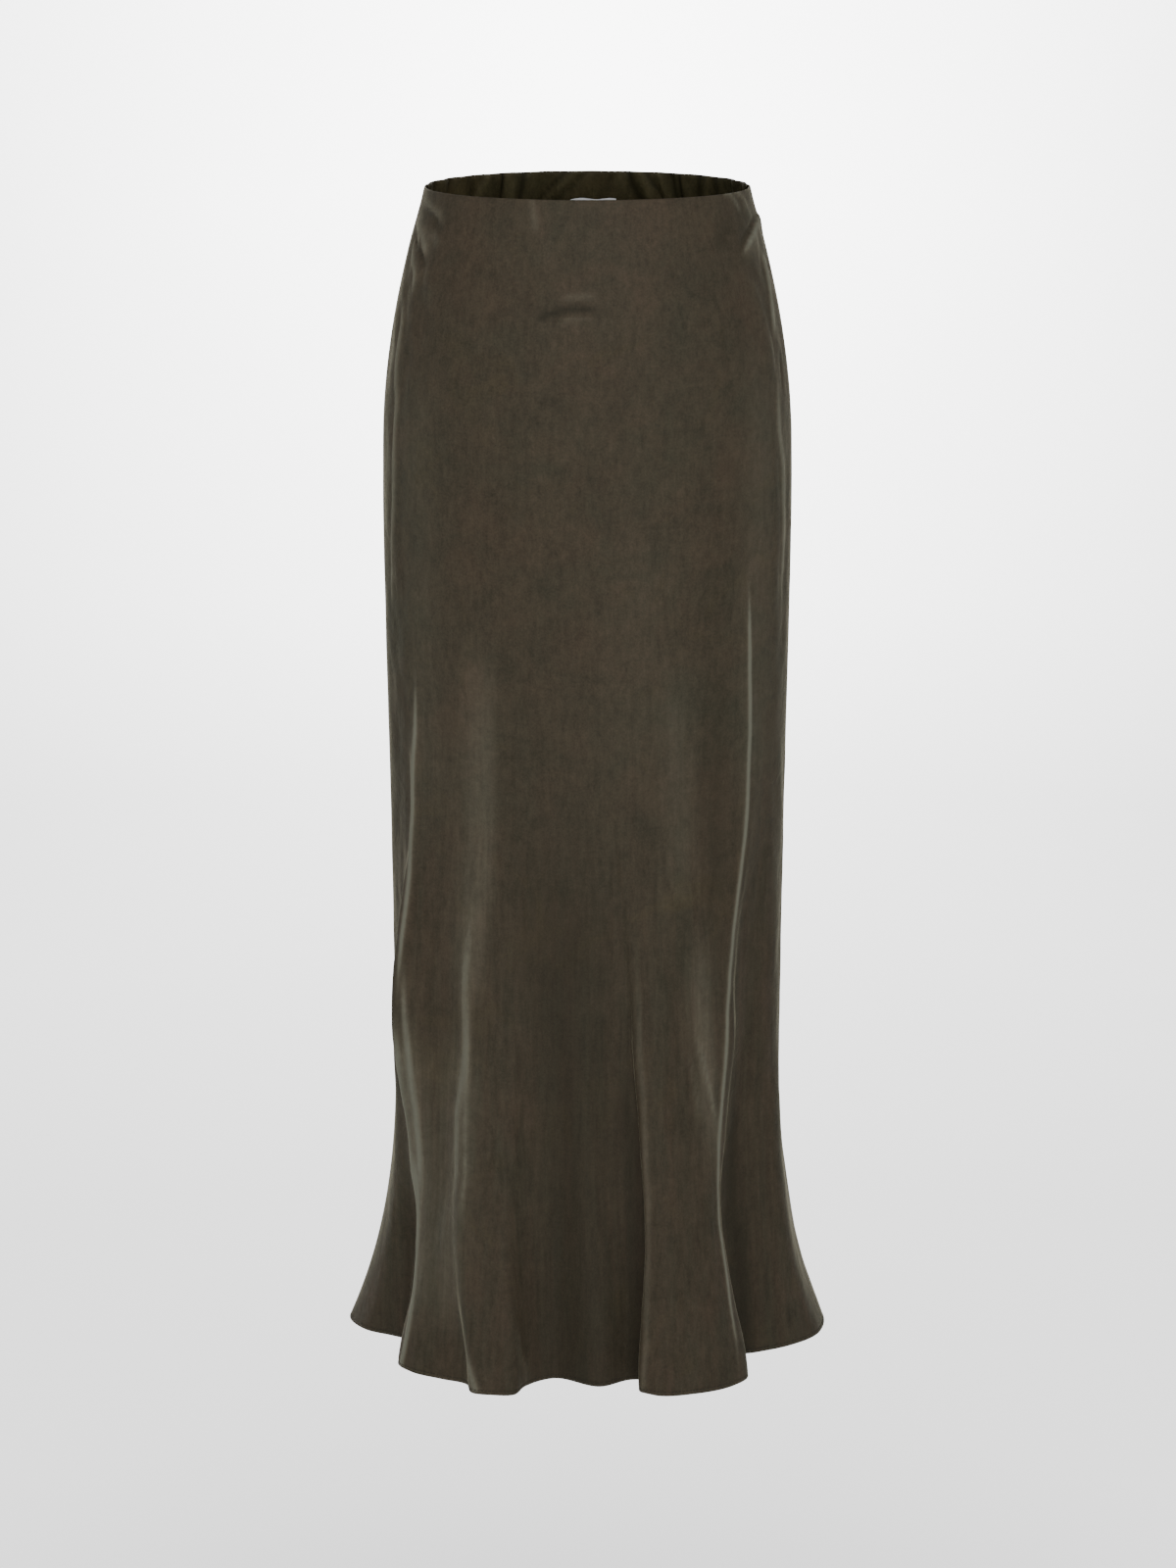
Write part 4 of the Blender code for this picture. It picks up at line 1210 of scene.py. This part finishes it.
@dataclass(frozen=True)
class SatinFinish:
    """Washed satin: a dull peach-skin face with clouded dye, fine fibre streaks and crinkles,
    with painted highlights and painted shade laid on from the cloth's painted light.
    """

    name: str
    cool: tuple[float, float, float]
    warm: tuple[float, float, float]
    ochre: tuple[float, float, float]
    # painted_highlight is the colour of the painted highlights, painted_shade that of the painted
    # shade.
    painted_highlight: tuple[float, float, float]
    painted_shade: tuple[float, float, float]
    rough: float
    sheen: float
    crinkle: float = 0.00018
    hips_end: float = 0.34
    hung_from: float = 0.62
    spread: tuple[float, float] = (0.37, 0.63)
    ochre_share: float = 0.55
    darker: float = 0.68
    lighter: float = 1.32
    # How far the painted highlight brightens the face and how much of its colour it mixes in.
    glow_share: float = 0.32
    glow_lift: float = 1.58
    sheen_rough: float = 0.28
    sheen_tint: tuple[float, float, float, float] = (0.86, 0.80, 0.58, 1.0)
    specular: float = 0.14
    yarns: float = 620.0
    yarn_depth: float = 0.00004

    def hung(self, graph: Graph, where: Signal) -> Signal:
        """Return 0 on the hips and 1 where the cloth hangs free."""
        height = graph.out(graph.node("ShaderNodeSeparateXYZ", None, {0: where}), "Z")
        return (0.0 - height).between(self.hips_end, self.hung_from)

    def dye(self, graph: Graph, where: Signal, hung: Signal) -> Signal:
        """Return the clouded dye with the painted highlights and painted shade on it.

        Args:
            graph: The material's graph.
            where: Object coordinates.
            hung: Where the cloth hangs free.

        Returns:
            The colour.
        """
        clouds = graph.noise(where, CLOUDS)
        patches = graph.noise(where, PATCHES)
        mottle = graph.noise(where, MOTTLE)
        streaks = graph.noise(where, STREAKS)
        lines = graph.noise(where, LINES)
        mixed = clouds * 0.52 + patches * 0.40 + mottle * 0.08
        mixed = mixed + hung * (streaks - mixed) * 0.52
        tone = graph.blend(mixed.between(*self.spread), (*self.cool, 1.0), (*self.warm, 1.0))
        ochre = graph.noise(where, OCHRE_SPOTS).between(0.56, 0.72) * self.ochre_share
        tone = graph.blend(ochre, tone, (*self.ochre, 1.0))
        cross = graph.noise(where, CROSS_FIBRES)
        counter = graph.noise(where, COUNTER_FIBRES)
        grain = graph.noise(where, FINE_GRAIN)
        wear = mottle * 0.24 + patches * 0.16 + cross * 0.18 + counter * 0.14 + grain * 0.28
        wear = wear + hung * (lines - wear) * 0.26
        shade = graph.blend(wear.between(*self.spread), grey(self.darker), grey(self.lighter))
        face = graph.times(tone, shade)
        # Painted light read from the cloth and broken into streaks: painted highlights on crests,
        # painted shade in hollows.
        painted_light = graph.out(graph.node("ShaderNodeAttribute", {"attribute_name": "painted_light"}), "Fac")
        return self.with_painted_light(graph, face, painted_light * (0.40 + lines * 0.70 + mottle * 0.50))

    def with_painted_light(self, graph: Graph, face: Signal, painted_light: Signal) -> Signal:
        """Return the dyed face with painted highlights on the crests and painted shade in the
        hollows.

        Args:
            graph: The material's graph.
            face: The dyed face.
            painted_light: How much highlight is painted, below zero how much shade.

        Returns:
            The colour.
        """
        # Painted highlight: the face brightened and mixed toward the highlight colour; painted
        # shade: mixed toward the shade colour.
        lifted = graph.times(face, grey(self.glow_lift))
        glow = graph.blend(self.glow_share, lifted, (*self.painted_highlight, 1.0))
        face = graph.blend((painted_light * 2.0).most(0.0).least(1.0), face, glow)
        face = graph.blend(painted_light.between(0.38, 1.0), face, (*self.painted_highlight, 1.0))
        return graph.blend((0.0 - painted_light).most(0.0).least(1.0), face, (*self.painted_shade, 1.0))

    def build(self) -> bpy.types.Material:
        """Make the material.

        Returns:
            The satin.
        """
        graph = Graph(self.name)
        where = graph.out(graph.node("ShaderNodeTexCoord"), "Object")
        cloth = graph.out(graph.node("ShaderNodeUVMap", {"uv_map": "cloth"}))
        hung = self.hung(graph, where)
        crinkle = graph.noise(where, CRINKLES)
        cross = graph.noise(where, CROSS_CRINKLES)
        bands = {"wave_type": "BANDS", "bands_direction": "DIAGONAL"}
        weave = graph.node("ShaderNodeTexWave", bands, {
            "Vector": cloth, "Scale": self.yarns, "Distortion": 0.6, "Detail": 1.0,
        })
        surface = graph.bump(graph.noise(where, CRUMPLES), self.crinkle * 5.0)
        surface = graph.bump(crinkle * 0.5 + cross * 0.5, self.crinkle, 1.0, surface)
        ripple = graph.noise(where, RIPPLES)
        surface = graph.bump(ripple * hung, self.crinkle * 2.0, 1.0, surface)
        surface = graph.bump(graph.out(weave), self.yarn_depth, 0.5, surface)
        return graph.finished({
            "Base Color": self.dye(graph, where, hung),
            "Roughness": self.rough + (crinkle - 0.5) * 0.12,
            "Normal": surface,
            "Sheen Weight": self.sheen,
            "Sheen Roughness": self.sheen_rough,
            "Sheen Tint": self.sheen_tint,
            "Specular IOR Level": self.specular,
        })


SATIN = SatinFinish(
    "satin", cool=(0.0668, 0.0586, 0.0382), warm=(0.0805, 0.0596, 0.0392),
    ochre=(0.0850, 0.0672, 0.0380), painted_highlight=(0.213, 0.207, 0.158), painted_shade=(0.024, 0.022, 0.014),
    rough=0.56, sheen=0.55,
)
# The casing's inner face: darker and duller than the outside, partly the satin's back and partly
# painted shade inside the waist.
SATIN_INSIDE = SatinFinish(
    "satin_inside", cool=(0.053, 0.048, 0.022), warm=(0.072, 0.056, 0.028),
    ochre=(0.084, 0.067, 0.028), painted_highlight=(0.120, 0.105, 0.055), painted_shade=(0.009, 0.008, 0.003),
    rough=0.62, sheen=0.08,
)


@dataclass(frozen=True)
class TapeFinish:
    """White woven label tape."""

    name: str = "label_tape"
    colour: tuple[float, float, float] = (0.88, 0.88, 0.90)
    dim: float = 0.92
    ribs: float = 420.0
    rib_depth: float = 0.00008
    rough: float = 0.55
    sheen: float = 0.15

    def build(self) -> bpy.types.Material:
        """Make the material.

        Returns:
            The tape.
        """
        graph = Graph(self.name)
        cloth = graph.out(graph.node("ShaderNodeUVMap", {"uv_map": "cloth"}))
        where = graph.out(graph.node("ShaderNodeTexCoord"), "Object")
        ribs = graph.out(graph.node("ShaderNodeTexWave", {
            "wave_type": "BANDS", "bands_direction": "Y",
        }, {"Vector": cloth, "Scale": self.ribs, "Distortion": 0.3}))
        fuzz = graph.noise(where, FUZZ)
        dark = tuple(part * self.dim for part in self.colour)
        return graph.finished({
            "Base Color": graph.blend(ribs * 0.6 + fuzz * 0.4, (*dark, 1.0), (*self.colour, 1.0)),
            "Roughness": self.rough + fuzz * 0.2,
            "Normal": graph.bump(ribs, self.rib_depth),
            "Sheen Weight": self.sheen,
        })


@dataclass(frozen=True)
class ThreadFinish:
    """Sewing thread, darker than the satin: partly its own colour, partly painted shade along the
    stitched groove.
    """

    name: str = "thread"
    colour: tuple[float, float, float] = (0.030, 0.026, 0.016)
    dim: float = 0.7
    rough: float = 0.45

    def build(self) -> bpy.types.Material:
        """Make the material.

        Returns:
            The thread.
        """
        graph = Graph(self.name)
        where = graph.out(graph.node("ShaderNodeTexCoord"), "Object")
        twist = graph.noise(where, TWIST)
        dark = tuple(part * self.dim for part in self.colour)
        return graph.finished({
            "Base Color": graph.blend(twist, (*dark, 1.0), (*self.colour, 1.0)),
            "Roughness": self.rough + twist * 0.15,
        })


# ---------------------------------------------------------------- sub-assemblies

@dataclass
class ClothMaker:
    """Turns grids of points into cloth meshes."""

    form: SkirtForm
    stitch_taper: float = 0.55

    @staticmethod
    def piece(name: str, bm: bmesh.types.BMesh, material: bpy.types.Material) -> bpy.types.Object:
        """Put a mesh into the scene.

        Args:
            name: The piece's name.
            bm: The mesh, which is freed.
            material: Its finish.

        Returns:
            The piece.
        """
        mesh = bpy.data.meshes.new(name)
        bm.to_mesh(mesh)
        bm.free()
        mesh.materials.append(material)
        piece = bpy.data.objects.new(name, mesh)
        bpy.context.scene.collection.objects.link(piece)
        return piece

    def sheet(self, name: str, points: np.ndarray, cloth: np.ndarray, thickness: float,
              material: bpy.types.Material, painted_light: Optional[np.ndarray] = None) -> bpy.types.Object:
        """Make a thin closed shell.

        Args:
            name: The piece's name.
            points: A grid of points, rows from top to bottom, columns to the right.
            cloth: The same grid's place on the flat cloth, in metres.
            thickness: How thick the cloth is.
            material: Its finish.
            painted_light: The painted highlight at each point, below zero painted shade.

        Returns:
            The piece.
        """
        rows, columns = points.shape[:2]
        bm = bmesh.new()
        layer = bm.loops.layers.uv.new("cloth")
        # The layer carries the painted highlight, and below zero the painted shade, to the satin.
        painted_highlight = bm.verts.layers.float.new("painted_light")
        bmesh.ops.create_grid(bm, x_segments=columns - 1, y_segments=rows - 1, size=1.0)
        spots = {}
        for vert in bm.verts:
            column = round((vert.co.x + 1.0) / 2.0 * (columns - 1))
            row = round((1.0 - vert.co.y) / 2.0 * (rows - 1))
            vert.co = points[row, column]
            vert[painted_highlight] = 0.0 if painted_light is None else painted_light[row, column]
            spots[vert] = cloth[row, column]
        for face in bm.faces:
            face.smooth = True
            for loop in face.loops:
                loop[layer].uv = spots[loop.vert]
        piece = self.piece(name, bm, material)
        shell = piece.modifiers.new("shell", "SOLIDIFY")
        shell.thickness = thickness
        shell.offset = 0.0
        LOG.info("%s: %d by %d points", name, rows, columns)
        return piece

    def stitches(self, name: str, path: np.ndarray, normals: np.ndarray, pitch: float,
                 size: Vector, material: bpy.types.Material) -> bpy.types.Object:
        """Make a run of straight stitches.

        Args:
            name: The piece's name.
            path: Points that the run follows.
            normals: The cloth's normals there.
            pitch: From one stitch to the next.
            size: A stitch's length, width and height.
            material: The thread.

        Returns:
            The piece, one joined mesh.
        """
        steps = np.linalg.norm(np.diff(path, axis=0), axis=1)
        travel = np.concatenate([[0.0], np.cumsum(steps)])
        bm = bmesh.new()
        for at in np.arange(pitch / 2, travel[-1] - pitch / 2, pitch):
            middle, ahead, facing = (
                Vector([np.interp(place, travel, column) for column in source.T])
                for place, source in ((at, path), (at + pitch / 4, path), (at, normals))
            )
            along = (ahead - middle).normalized()
            across = facing.cross(along).normalized()
            for vert in bmesh.ops.create_cube(bm, size=1.0)["verts"]:
                upper_end = abs(vert.co.x) > 0.4 and vert.co.z > 0
                length = vert.co.x * size.x * (self.stitch_taper if upper_end else 1.0)
                vert.co = (middle + along * length + across * (vert.co.y * size.y)
                           + facing * (vert.co.z * size.z))
        bmesh.ops.recalc_face_normals(bm, faces=bm.faces)
        LOG.info("%s: %.2f m of stitching", name, travel[-1])
        return self.piece(name, bm, material)


@dataclass
class Panel:
    """One panel of the skirt, its waist edge and hem turned in."""

    maker: ClothMaker
    name: str
    start: float
    end: float
    material: bpy.types.Material
    front: bool
    crests: tuple[Crowding, ...]
    columns: int = 276
    rows: int = 148
    cloth: float = 0.0004
    seam_tuck: float = 0.00075
    seam_lap: float = 0.0040
    seam_gap: float = 0.0012
    hem_turning: float = 0.0045
    waist_turning: float = 0.0080
    layer: float = 0.0010
    first_row: float = -0.0045
    last_row: float = 0.0064
    closer_at_waist: Crowding = Crowding(-0.02, 0.09, 3.2)
    closer_at_hem: tuple[float, float] = (0.05, 1.9)

    def column_places(self) -> tuple[np.ndarray, np.ndarray]:
        """Place the columns.

        Returns:
            Places along the hem, and how far each is tucked in at the side seams.
        """
        form = self.maker.form
        spots = [Crowding(float(form.along_of(crest.middle)), crest.reach, crest.closer)
                 for crest in self.crests]
        if self.front:
            lap = self.seam_lap
            ends = np.array([0.0, 0.5 * lap] + [lap + past for past, _ in FRONT_SEAM_STEPS])
            tucks = self.seam_tuck * np.array([1.0, 1.0] + [share for _, share in FRONT_SEAM_STEPS])
            low, high = self.start - lap, self.end + lap
        else:
            ends, shares = (np.array(column) for column in zip(*BACK_SEAM_STEPS))
            tucks = self.cloth * shares
            low, high = self.start, self.end
        count = self.columns - 2 * len(ends)
        inner = spaced(low + ends[-1] + self.seam_gap, high - ends[-1] - self.seam_gap, count, spots)
        along = np.concatenate([low + ends, inner, high - ends[::-1]])
        return along, np.concatenate([tucks, np.zeros(count), tucks[::-1]])

    def row_places(self) -> tuple[np.ndarray, np.ndarray]:
        """Place the rows.

        Returns:
            The rows' heights, and how far inside the face each lies.
        """
        hem, thin = self.maker.form.hem, self.layer
        crowdings = (self.closer_at_waist, Crowding(hem, *self.closer_at_hem))
        body = spaced(self.first_row, hem + self.last_row, self.rows, crowdings)
        top = [(height, share * thin) for height, share in WAIST_ROWS]
        if self.front:
            turned = [(-self.waist_turning, thin), (-0.5 * self.waist_turning, thin)]
            top = turned + [(height, share * thin) for height, share in FRONT_WAIST_ROWS] + top
        bottom = [(hem + above, share * thin) for above, share in HEM_ROWS]
        bottom += [(hem + 0.5 * self.hem_turning, thin), (hem + self.hem_turning, thin)]
        pairs = top + [(height, 0.0) for height in body] + bottom
        heights, inward = (np.array(column) for column in zip(*pairs))
        return heights, inward

    def build(self) -> bpy.types.Object:
        """Make the panel.

        Returns:
            The piece.
        """
        along, tucks = self.column_places()
        heights, inward = self.row_places()
        depths = inward[:, None] + tucks[None, :]
        # painted_light holds the creases' painted highlights and painted shade.
        points, painted_light = self.maker.form.cloth(along[None, :], heights[:, None], depths)
        flat = flat_cloth(along, heights, inward)
        return self.maker.sheet(self.name, points, flat, self.cloth, self.material, painted_light)


@dataclass
class Casing:
    """The gathered tunnel of the elastic, inside the back's waist edge."""

    maker: ClothMaker
    start: float
    end: float
    material: bpy.types.Material
    name: str = "back_casing_cloth"
    depth: float = 0.0235
    margin: float = 0.0046
    columns: int = 300
    cloth: float = 0.0004
    wrinkled_from: float = 0.0018
    wrinkled_over: float = 0.0012

    def build(self) -> bpy.types.Object:
        """Make the casing's cloth.

        Returns:
            The piece.
        """
        form = self.maker.form
        along = np.linspace(self.start + self.margin, self.end - self.margin, self.columns)
        heights, inward = (np.array(column) for column in zip(*CASING_PROFILE))
        inward = inward / 1000.0
        inner = smooth_step((inward - self.wrinkled_from) / self.wrinkled_over)
        turn = form.fold_value("turn", along)
        wrinkle = np.zeros((len(heights), len(along)))
        painted_light = np.zeros(wrinkle.shape)
        # Each fold adds painted highlight on its ridge and painted shade in its trough.
        for fold in CASING_FOLDS:
            slant = fold.lean * (heights[:, None] + 0.5 * self.depth)
            away = turn[None, :] - fold.turn - slant
            strength = np.exp(-((away / fold.reach) ** 2))
            wrinkle += fold.depth * strength
            painted_light += fold.painted_light * strength
        depths = inward[:, None] + wrinkle * inner[:, None]
        points = form.cloth(along[None, :], heights[:, None], depths)[0]
        flat = flat_cloth(along, heights, inward)
        return self.maker.sheet(self.name, points, flat, self.cloth, self.material, painted_light)


@dataclass
class Label:
    """A blank folded label under the casing, its top edge waved and its left corner dropped.

    The wave holds (share of the width from the left, lift in metres).
    """

    maker: ClothMaker
    material: bpy.types.Material
    name: str = "label_tape"
    width: float = 0.0432
    aside: float = 0.0068
    top: float = -0.0198
    length: float = 0.0190
    wave: tuple[tuple[float, float], ...] = (
        (0.0, -0.0032), (0.1, -0.0020), (0.2, -0.0006), (0.29, 0.0), (0.42, -0.0006),
        (0.56, -0.0012), (0.70, -0.0006), (0.87, 0.0), (1.0, -0.0005),
    )
    inward: float = 0.0066
    loop: float = 0.0006
    swell: float = 0.0007
    tape: float = 0.0003
    columns: int = 40
    rows: int = 9
    bend_rows: int = 7
    bend_from: float = 0.97
    trial: float = 0.01

    def build(self) -> bpy.types.Object:
        """Make the label.

        Returns:
            The piece.
        """
        form = self.maker.form
        middle = float(form.along_of(180.0)) - self.aside
        trial = np.array([middle - self.trial, middle + self.trial])
        ends = form.smooth_cloth(trial, self.top, self.inward)
        half = self.trial * self.width / np.linalg.norm(ends[1] - ends[0])
        across = np.linspace(-1.0, 1.0, self.columns)
        turns = np.linspace(-math.pi / 2, math.pi / 2, self.bend_rows)
        down = np.concatenate([
            np.linspace(0.0, self.bend_from, self.rows),
            self.bend_from + 0.03 * np.cos(turns),
            np.linspace(self.bend_from, 0.02, self.rows),
        ])
        side = np.concatenate([np.full(self.rows, -1.0), np.sin(turns), np.full(self.rows, 1.0)])
        from_left = (1.0 - across) / 2.0
        hump = smooth_between(*zip(*self.wave), from_left)[None, :] * (1.0 - down[:, None])
        swell = self.swell * np.cos(math.pi * across[None, :] * 0.5)
        swell = swell * np.sin(math.pi * down[:, None])
        heights = self.top + hump - self.length * down[:, None]
        inward = self.inward + side[:, None] * self.loop + swell
        points = form.smooth_cloth(middle + half * across[None, :], heights, inward)
        travel = np.cumsum(np.abs(np.diff(down, prepend=0.0))) * self.length
        places = np.broadcast_arrays(across[None, :] * self.width / 2, -travel[:, None])
        flat = np.stack(places, axis=-1)
        return self.maker.sheet(self.name, points, flat, self.tape, self.material)


@dataclass(frozen=True)
class StitchRun:
    """A level run of stitches: where it starts and ends along the hem, its height, and how far
    outside the cloth's face it lies."""

    name: str
    start: float
    end: float
    height: float
    outward: float = 0.0


@dataclass
class Skirt:
    """The whole skirt."""

    form: SkirtForm
    stitch: float = 0.0030
    stitch_size: tuple[float, float, float] = (0.0021, 0.00042, 0.00030)
    stitch_points: int = 900
    hem_stitch_height: float = 0.0031
    hem_stitch_gap: float = 0.002
    casing_stitch_height: float = -0.0215
    casing_stitch_lift: float = 0.0003
    casing_stitch_gap: float = 0.004

    def __post_init__(self) -> None:
        """Make the finishes."""
        self.maker = ClothMaker(self.form)
        self.satin = SATIN.build()
        self.inside = SATIN_INSIDE.build()
        self.tape = TapeFinish().build()
        self.thread = ThreadFinish().build()

    def runs(self) -> tuple[StitchRun, ...]:
        """Place the runs of stitches.

        Returns:
            The two rows above the hem, and the row under the casing.
        """
        right, left = self.form.right_seam, self.form.hem_round
        height, gap = self.form.hem + self.hem_stitch_height, self.hem_stitch_gap
        inner = self.casing_stitch_gap
        return (
            StitchRun("front_hem_stitches", gap, right - gap, height),
            StitchRun("back_hem_stitches", right + gap, left - gap, height),
            StitchRun("casing_stitches", right + inner, left - inner, self.casing_stitch_height,
                      self.casing_stitch_lift),
        )

    def sew(self, run: StitchRun) -> bpy.types.Object:
        """Sew a run of stitches.

        Args:
            run: Where it goes.

        Returns:
            The piece.
        """
        along = np.linspace(run.start, run.end, self.stitch_points)
        path = self.form.cloth(along, run.height, -run.outward)[0]
        normals = self.form.normal(along, run.height)
        size = Vector(self.stitch_size)
        return self.maker.stitches(run.name, path, normals, self.stitch, size, self.thread)

    def build(self) -> None:
        """Make every piece, hang it on the root body and hide the solid that it replaces."""
        right, left = self.form.right_seam, self.form.hem_round
        front = Panel(self.maker, "front_panel_cloth", 0.0, right, self.satin, True,
                      FRONT_CRESTS).build()
        back = Panel(self.maker, "back_panel_cloth", right, left, self.satin, False,
                     BACK_CRESTS).build()
        casing = Casing(self.maker, right, left, self.inside).build()
        label = Label(self.maker, self.tape).build()
        sewn = {run.name: self.sew(run) for run in self.runs()}
        for piece, node, slot in (
            (front, "front_panel", "satin"), (back, "back_panel", "satin"),
            (casing, "back_waist_casing", "satin_inside"), (label, "label", "label_tape"),
        ):
            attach(piece, ROOT)
            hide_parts(node)
        for piece in sewn.values():
            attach(piece, ROOT)


@dataclass(frozen=True)
class Softbox:
    """A soft rectangular light: its place, the point that it faces, its width and height in
    metres, its power in watts and how wide its beam opens, in degrees."""

    name: str
    place: tuple[float, float, float]
    aim: tuple[float, float, float]
    size: tuple[float, float]
    power: float
    spread: float = 180.0


SOFTBOXES = (
    Softbox("front_box", (0.15, -1.5, 0.5), (0.0, 0.0, -0.25), (1.4, 0.9), 8.6),
    Softbox("front_low_box", (0.10, -1.5, -0.75), (0.0, 0.0, -0.60), (1.2, 0.8), 2.3),
    Softbox("back_box", (-0.10, 1.5, 0.55), (0.0, 0.0, -0.30), (1.1, 0.9), 7.0),
    Softbox("back_low_box", (0.0, 1.5, -0.75), (0.0, 0.0, -0.60), (1.0, 0.8), 2.4),
    Softbox("left_fill", (-1.7, -1.2, -0.2), (0.0, 0.0, -0.5), (1.2, 1.6), 3.9),
    Softbox("right_fill", (1.7, -1.2, 0.1), (0.0, 0.0, -0.3), (1.2, 1.4), 2.9),
    Softbox("left_box", (-2.4, 1.5, 0.2), (0.0, 0.0, -0.4), (0.7, 1.6), 1.0),
    Softbox("right_box", (2.4, 1.5, 0.2), (0.0, 0.0, -0.4), (0.7, 1.6), 0.8),
    Softbox("low_left_box", (-2.0, 0.9, -1.0), (0.0, 0.0, -0.92), (0.5, 0.5), 0.14, 24.0),
    Softbox("low_right_box", (2.0, 0.9, -1.0), (0.0, 0.0, -0.92), (0.5, 0.5), 0.04, 24.0),
)


@dataclass
class Studio:
    """Floor, lights and the camera at the photograph's angle.

    glow and falloff hold (place, level) along the distance from the skirt: the place counts
    doublings of the distance from half a metre, and 1 stands for the sixth. glow is how bright
    the stage is there, and falloff how much softer it gets to either side.
    """

    distance: float = 3.17
    eye: float = 0.396
    side_shift: float = 0.0005
    pitch: float = 15.49
    lens: float = 93.37
    sensor: float = 36.0
    floor: float = -1.60
    floor_reach: float = 38.0
    wall_height: float = 40.0
    glow: tuple[tuple[float, float], ...] = (
        (0.10, 0.158), (0.165, 0.185), (0.242, 0.215), (0.337, 0.250), (0.421, 0.310),
        (0.502, 0.400), (0.583, 0.580), (0.673, 0.700), (0.774, 0.840), (1.0, 0.840),
    )
    falloff: tuple[tuple[float, float], ...] = (
        (0.22, 0.0), (0.43, 0.20), (0.502, 0.42), (0.583, 0.62), (0.673, 0.78), (0.774, 1.0),
    )
    doublings: float = 6.0
    glow_power: float = 10.0
    side_dimming: float = 2.9
    least_kept: float = 0.45
    rim_segments: int = 96
    sky: tuple[float, float, float, float] = (0.96, 1.0, 1.0, 1.0)
    sky_strength: float = 0.36

    def camera(self) -> None:
        """Make the camera."""
        data = bpy.data.cameras.new("camera")
        data.lens = self.lens
        data.sensor_width = self.sensor
        camera = bpy.data.objects.new("camera", data)
        camera.location = (self.side_shift, -self.distance, self.eye)
        camera.rotation_euler = (math.radians(90.0 - self.pitch), 0.0, 0.0)
        bpy.context.scene.collection.objects.link(camera)
        bpy.context.scene.camera = camera

    def hang(self, box: Softbox) -> None:
        """Hang a soft rectangular light.

        Args:
            box: The light.
        """
        data = bpy.data.lights.new(box.name, "AREA")
        data.shape = "RECTANGLE"
        data.size, data.size_y = box.size
        data.energy = box.power
        data.spread = math.radians(box.spread)
        light = bpy.data.objects.new(box.name, data)
        light.visible_camera = False
        light.location = box.place
        towards = Vector(box.aim) - Vector(box.place)
        light.rotation_euler = towards.to_track_quat("-Z", "Y").to_euler()
        bpy.context.scene.collection.objects.link(light)

    def backdrop_glow(self, graph: Graph) -> Signal:
        """Return the stage's light: pale near the skirt, brighter away, softer to either side.

        Args:
            graph: The stage's material.

        Returns:
            The emission colour.
        """
        where = graph.out(graph.node("ShaderNodeTexCoord"), "Object")
        flat = graph.node("ShaderNodeSeparateXYZ", None, {0: where})
        east, south = abs(graph.out(flat, "X")), abs(graph.out(flat, "Y"))
        reach = (east * east + south * south) ** 0.5
        far = graph.out(graph.node("ShaderNodeMath", {"operation": "LOGARITHM"}, {0: reach, 1: 2.0}))
        place = (far + 1.0) / self.doublings
        level = graph.node("ShaderNodeValToRGB", {"stops": self.glow}, {0: place})
        spread = graph.node("ShaderNodeValToRGB", {"stops": self.falloff}, {0: place})
        off_axis = (2.0 - east.most(south) / reach * 2.0).most(0.0) + 0.0016
        dimming = (off_axis ** 0.5 - 0.04) * self.side_dimming
        kept = (1.0 - dimming * graph.out(spread)).most(self.least_kept)
        return graph.out(level) * self.glow_power * kept

    def stage(self) -> None:
        """Lay the pale floor, which rises far away into a pale wall."""
        graph = Graph("floor")
        material = graph.finished({
            "Base Color": grey(0.0),
            "Roughness": 1.0,
            "Specular IOR Level": 0.0,
            "Emission Color": self.backdrop_glow(graph),
            "Emission Strength": 1.0,
        })
        bm = bmesh.new()
        bmesh.ops.create_circle(bm, cap_ends=True, segments=self.rim_segments,
                                radius=self.floor_reach)
        rim = [edge for edge in bm.edges if edge.is_boundary]
        lifted = bmesh.ops.extrude_edge_only(bm, edges=rim)["geom"]
        for vert in lifted:
            if isinstance(vert, bmesh.types.BMVert):
                vert.co.z = self.wall_height
        bmesh.ops.recalc_face_normals(bm, faces=bm.faces)
        bmesh.ops.translate(bm, verts=bm.verts, vec=(0.0, 0.0, self.floor))
        floor = ClothMaker.piece("floor", bm, material)
        floor.visible_diffuse = False
        floor.visible_glossy = False
        floor.visible_shadow = False

    def build(self) -> None:
        """Make the whole studio."""
        self.camera()
        self.stage()
        world = bpy.data.worlds.new("studio")
        world.use_nodes = True
        background = world.node_tree.nodes["Background"]
        background.inputs["Color"].default_value = self.sky
        background.inputs["Strength"].default_value = self.sky_strength
        bpy.context.scene.world = world
        for box in SOFTBOXES:
            self.hang(box)


def main() -> None:
    """Build the studio and the skirt."""
    logging.basicConfig(level=logging.INFO)
    Studio().build()
    Skirt(SkirtForm(creases=CREASES + tuple(one.crease() for one in BACK_GATHERS))).build()


if __name__ == "__main__":
    main()
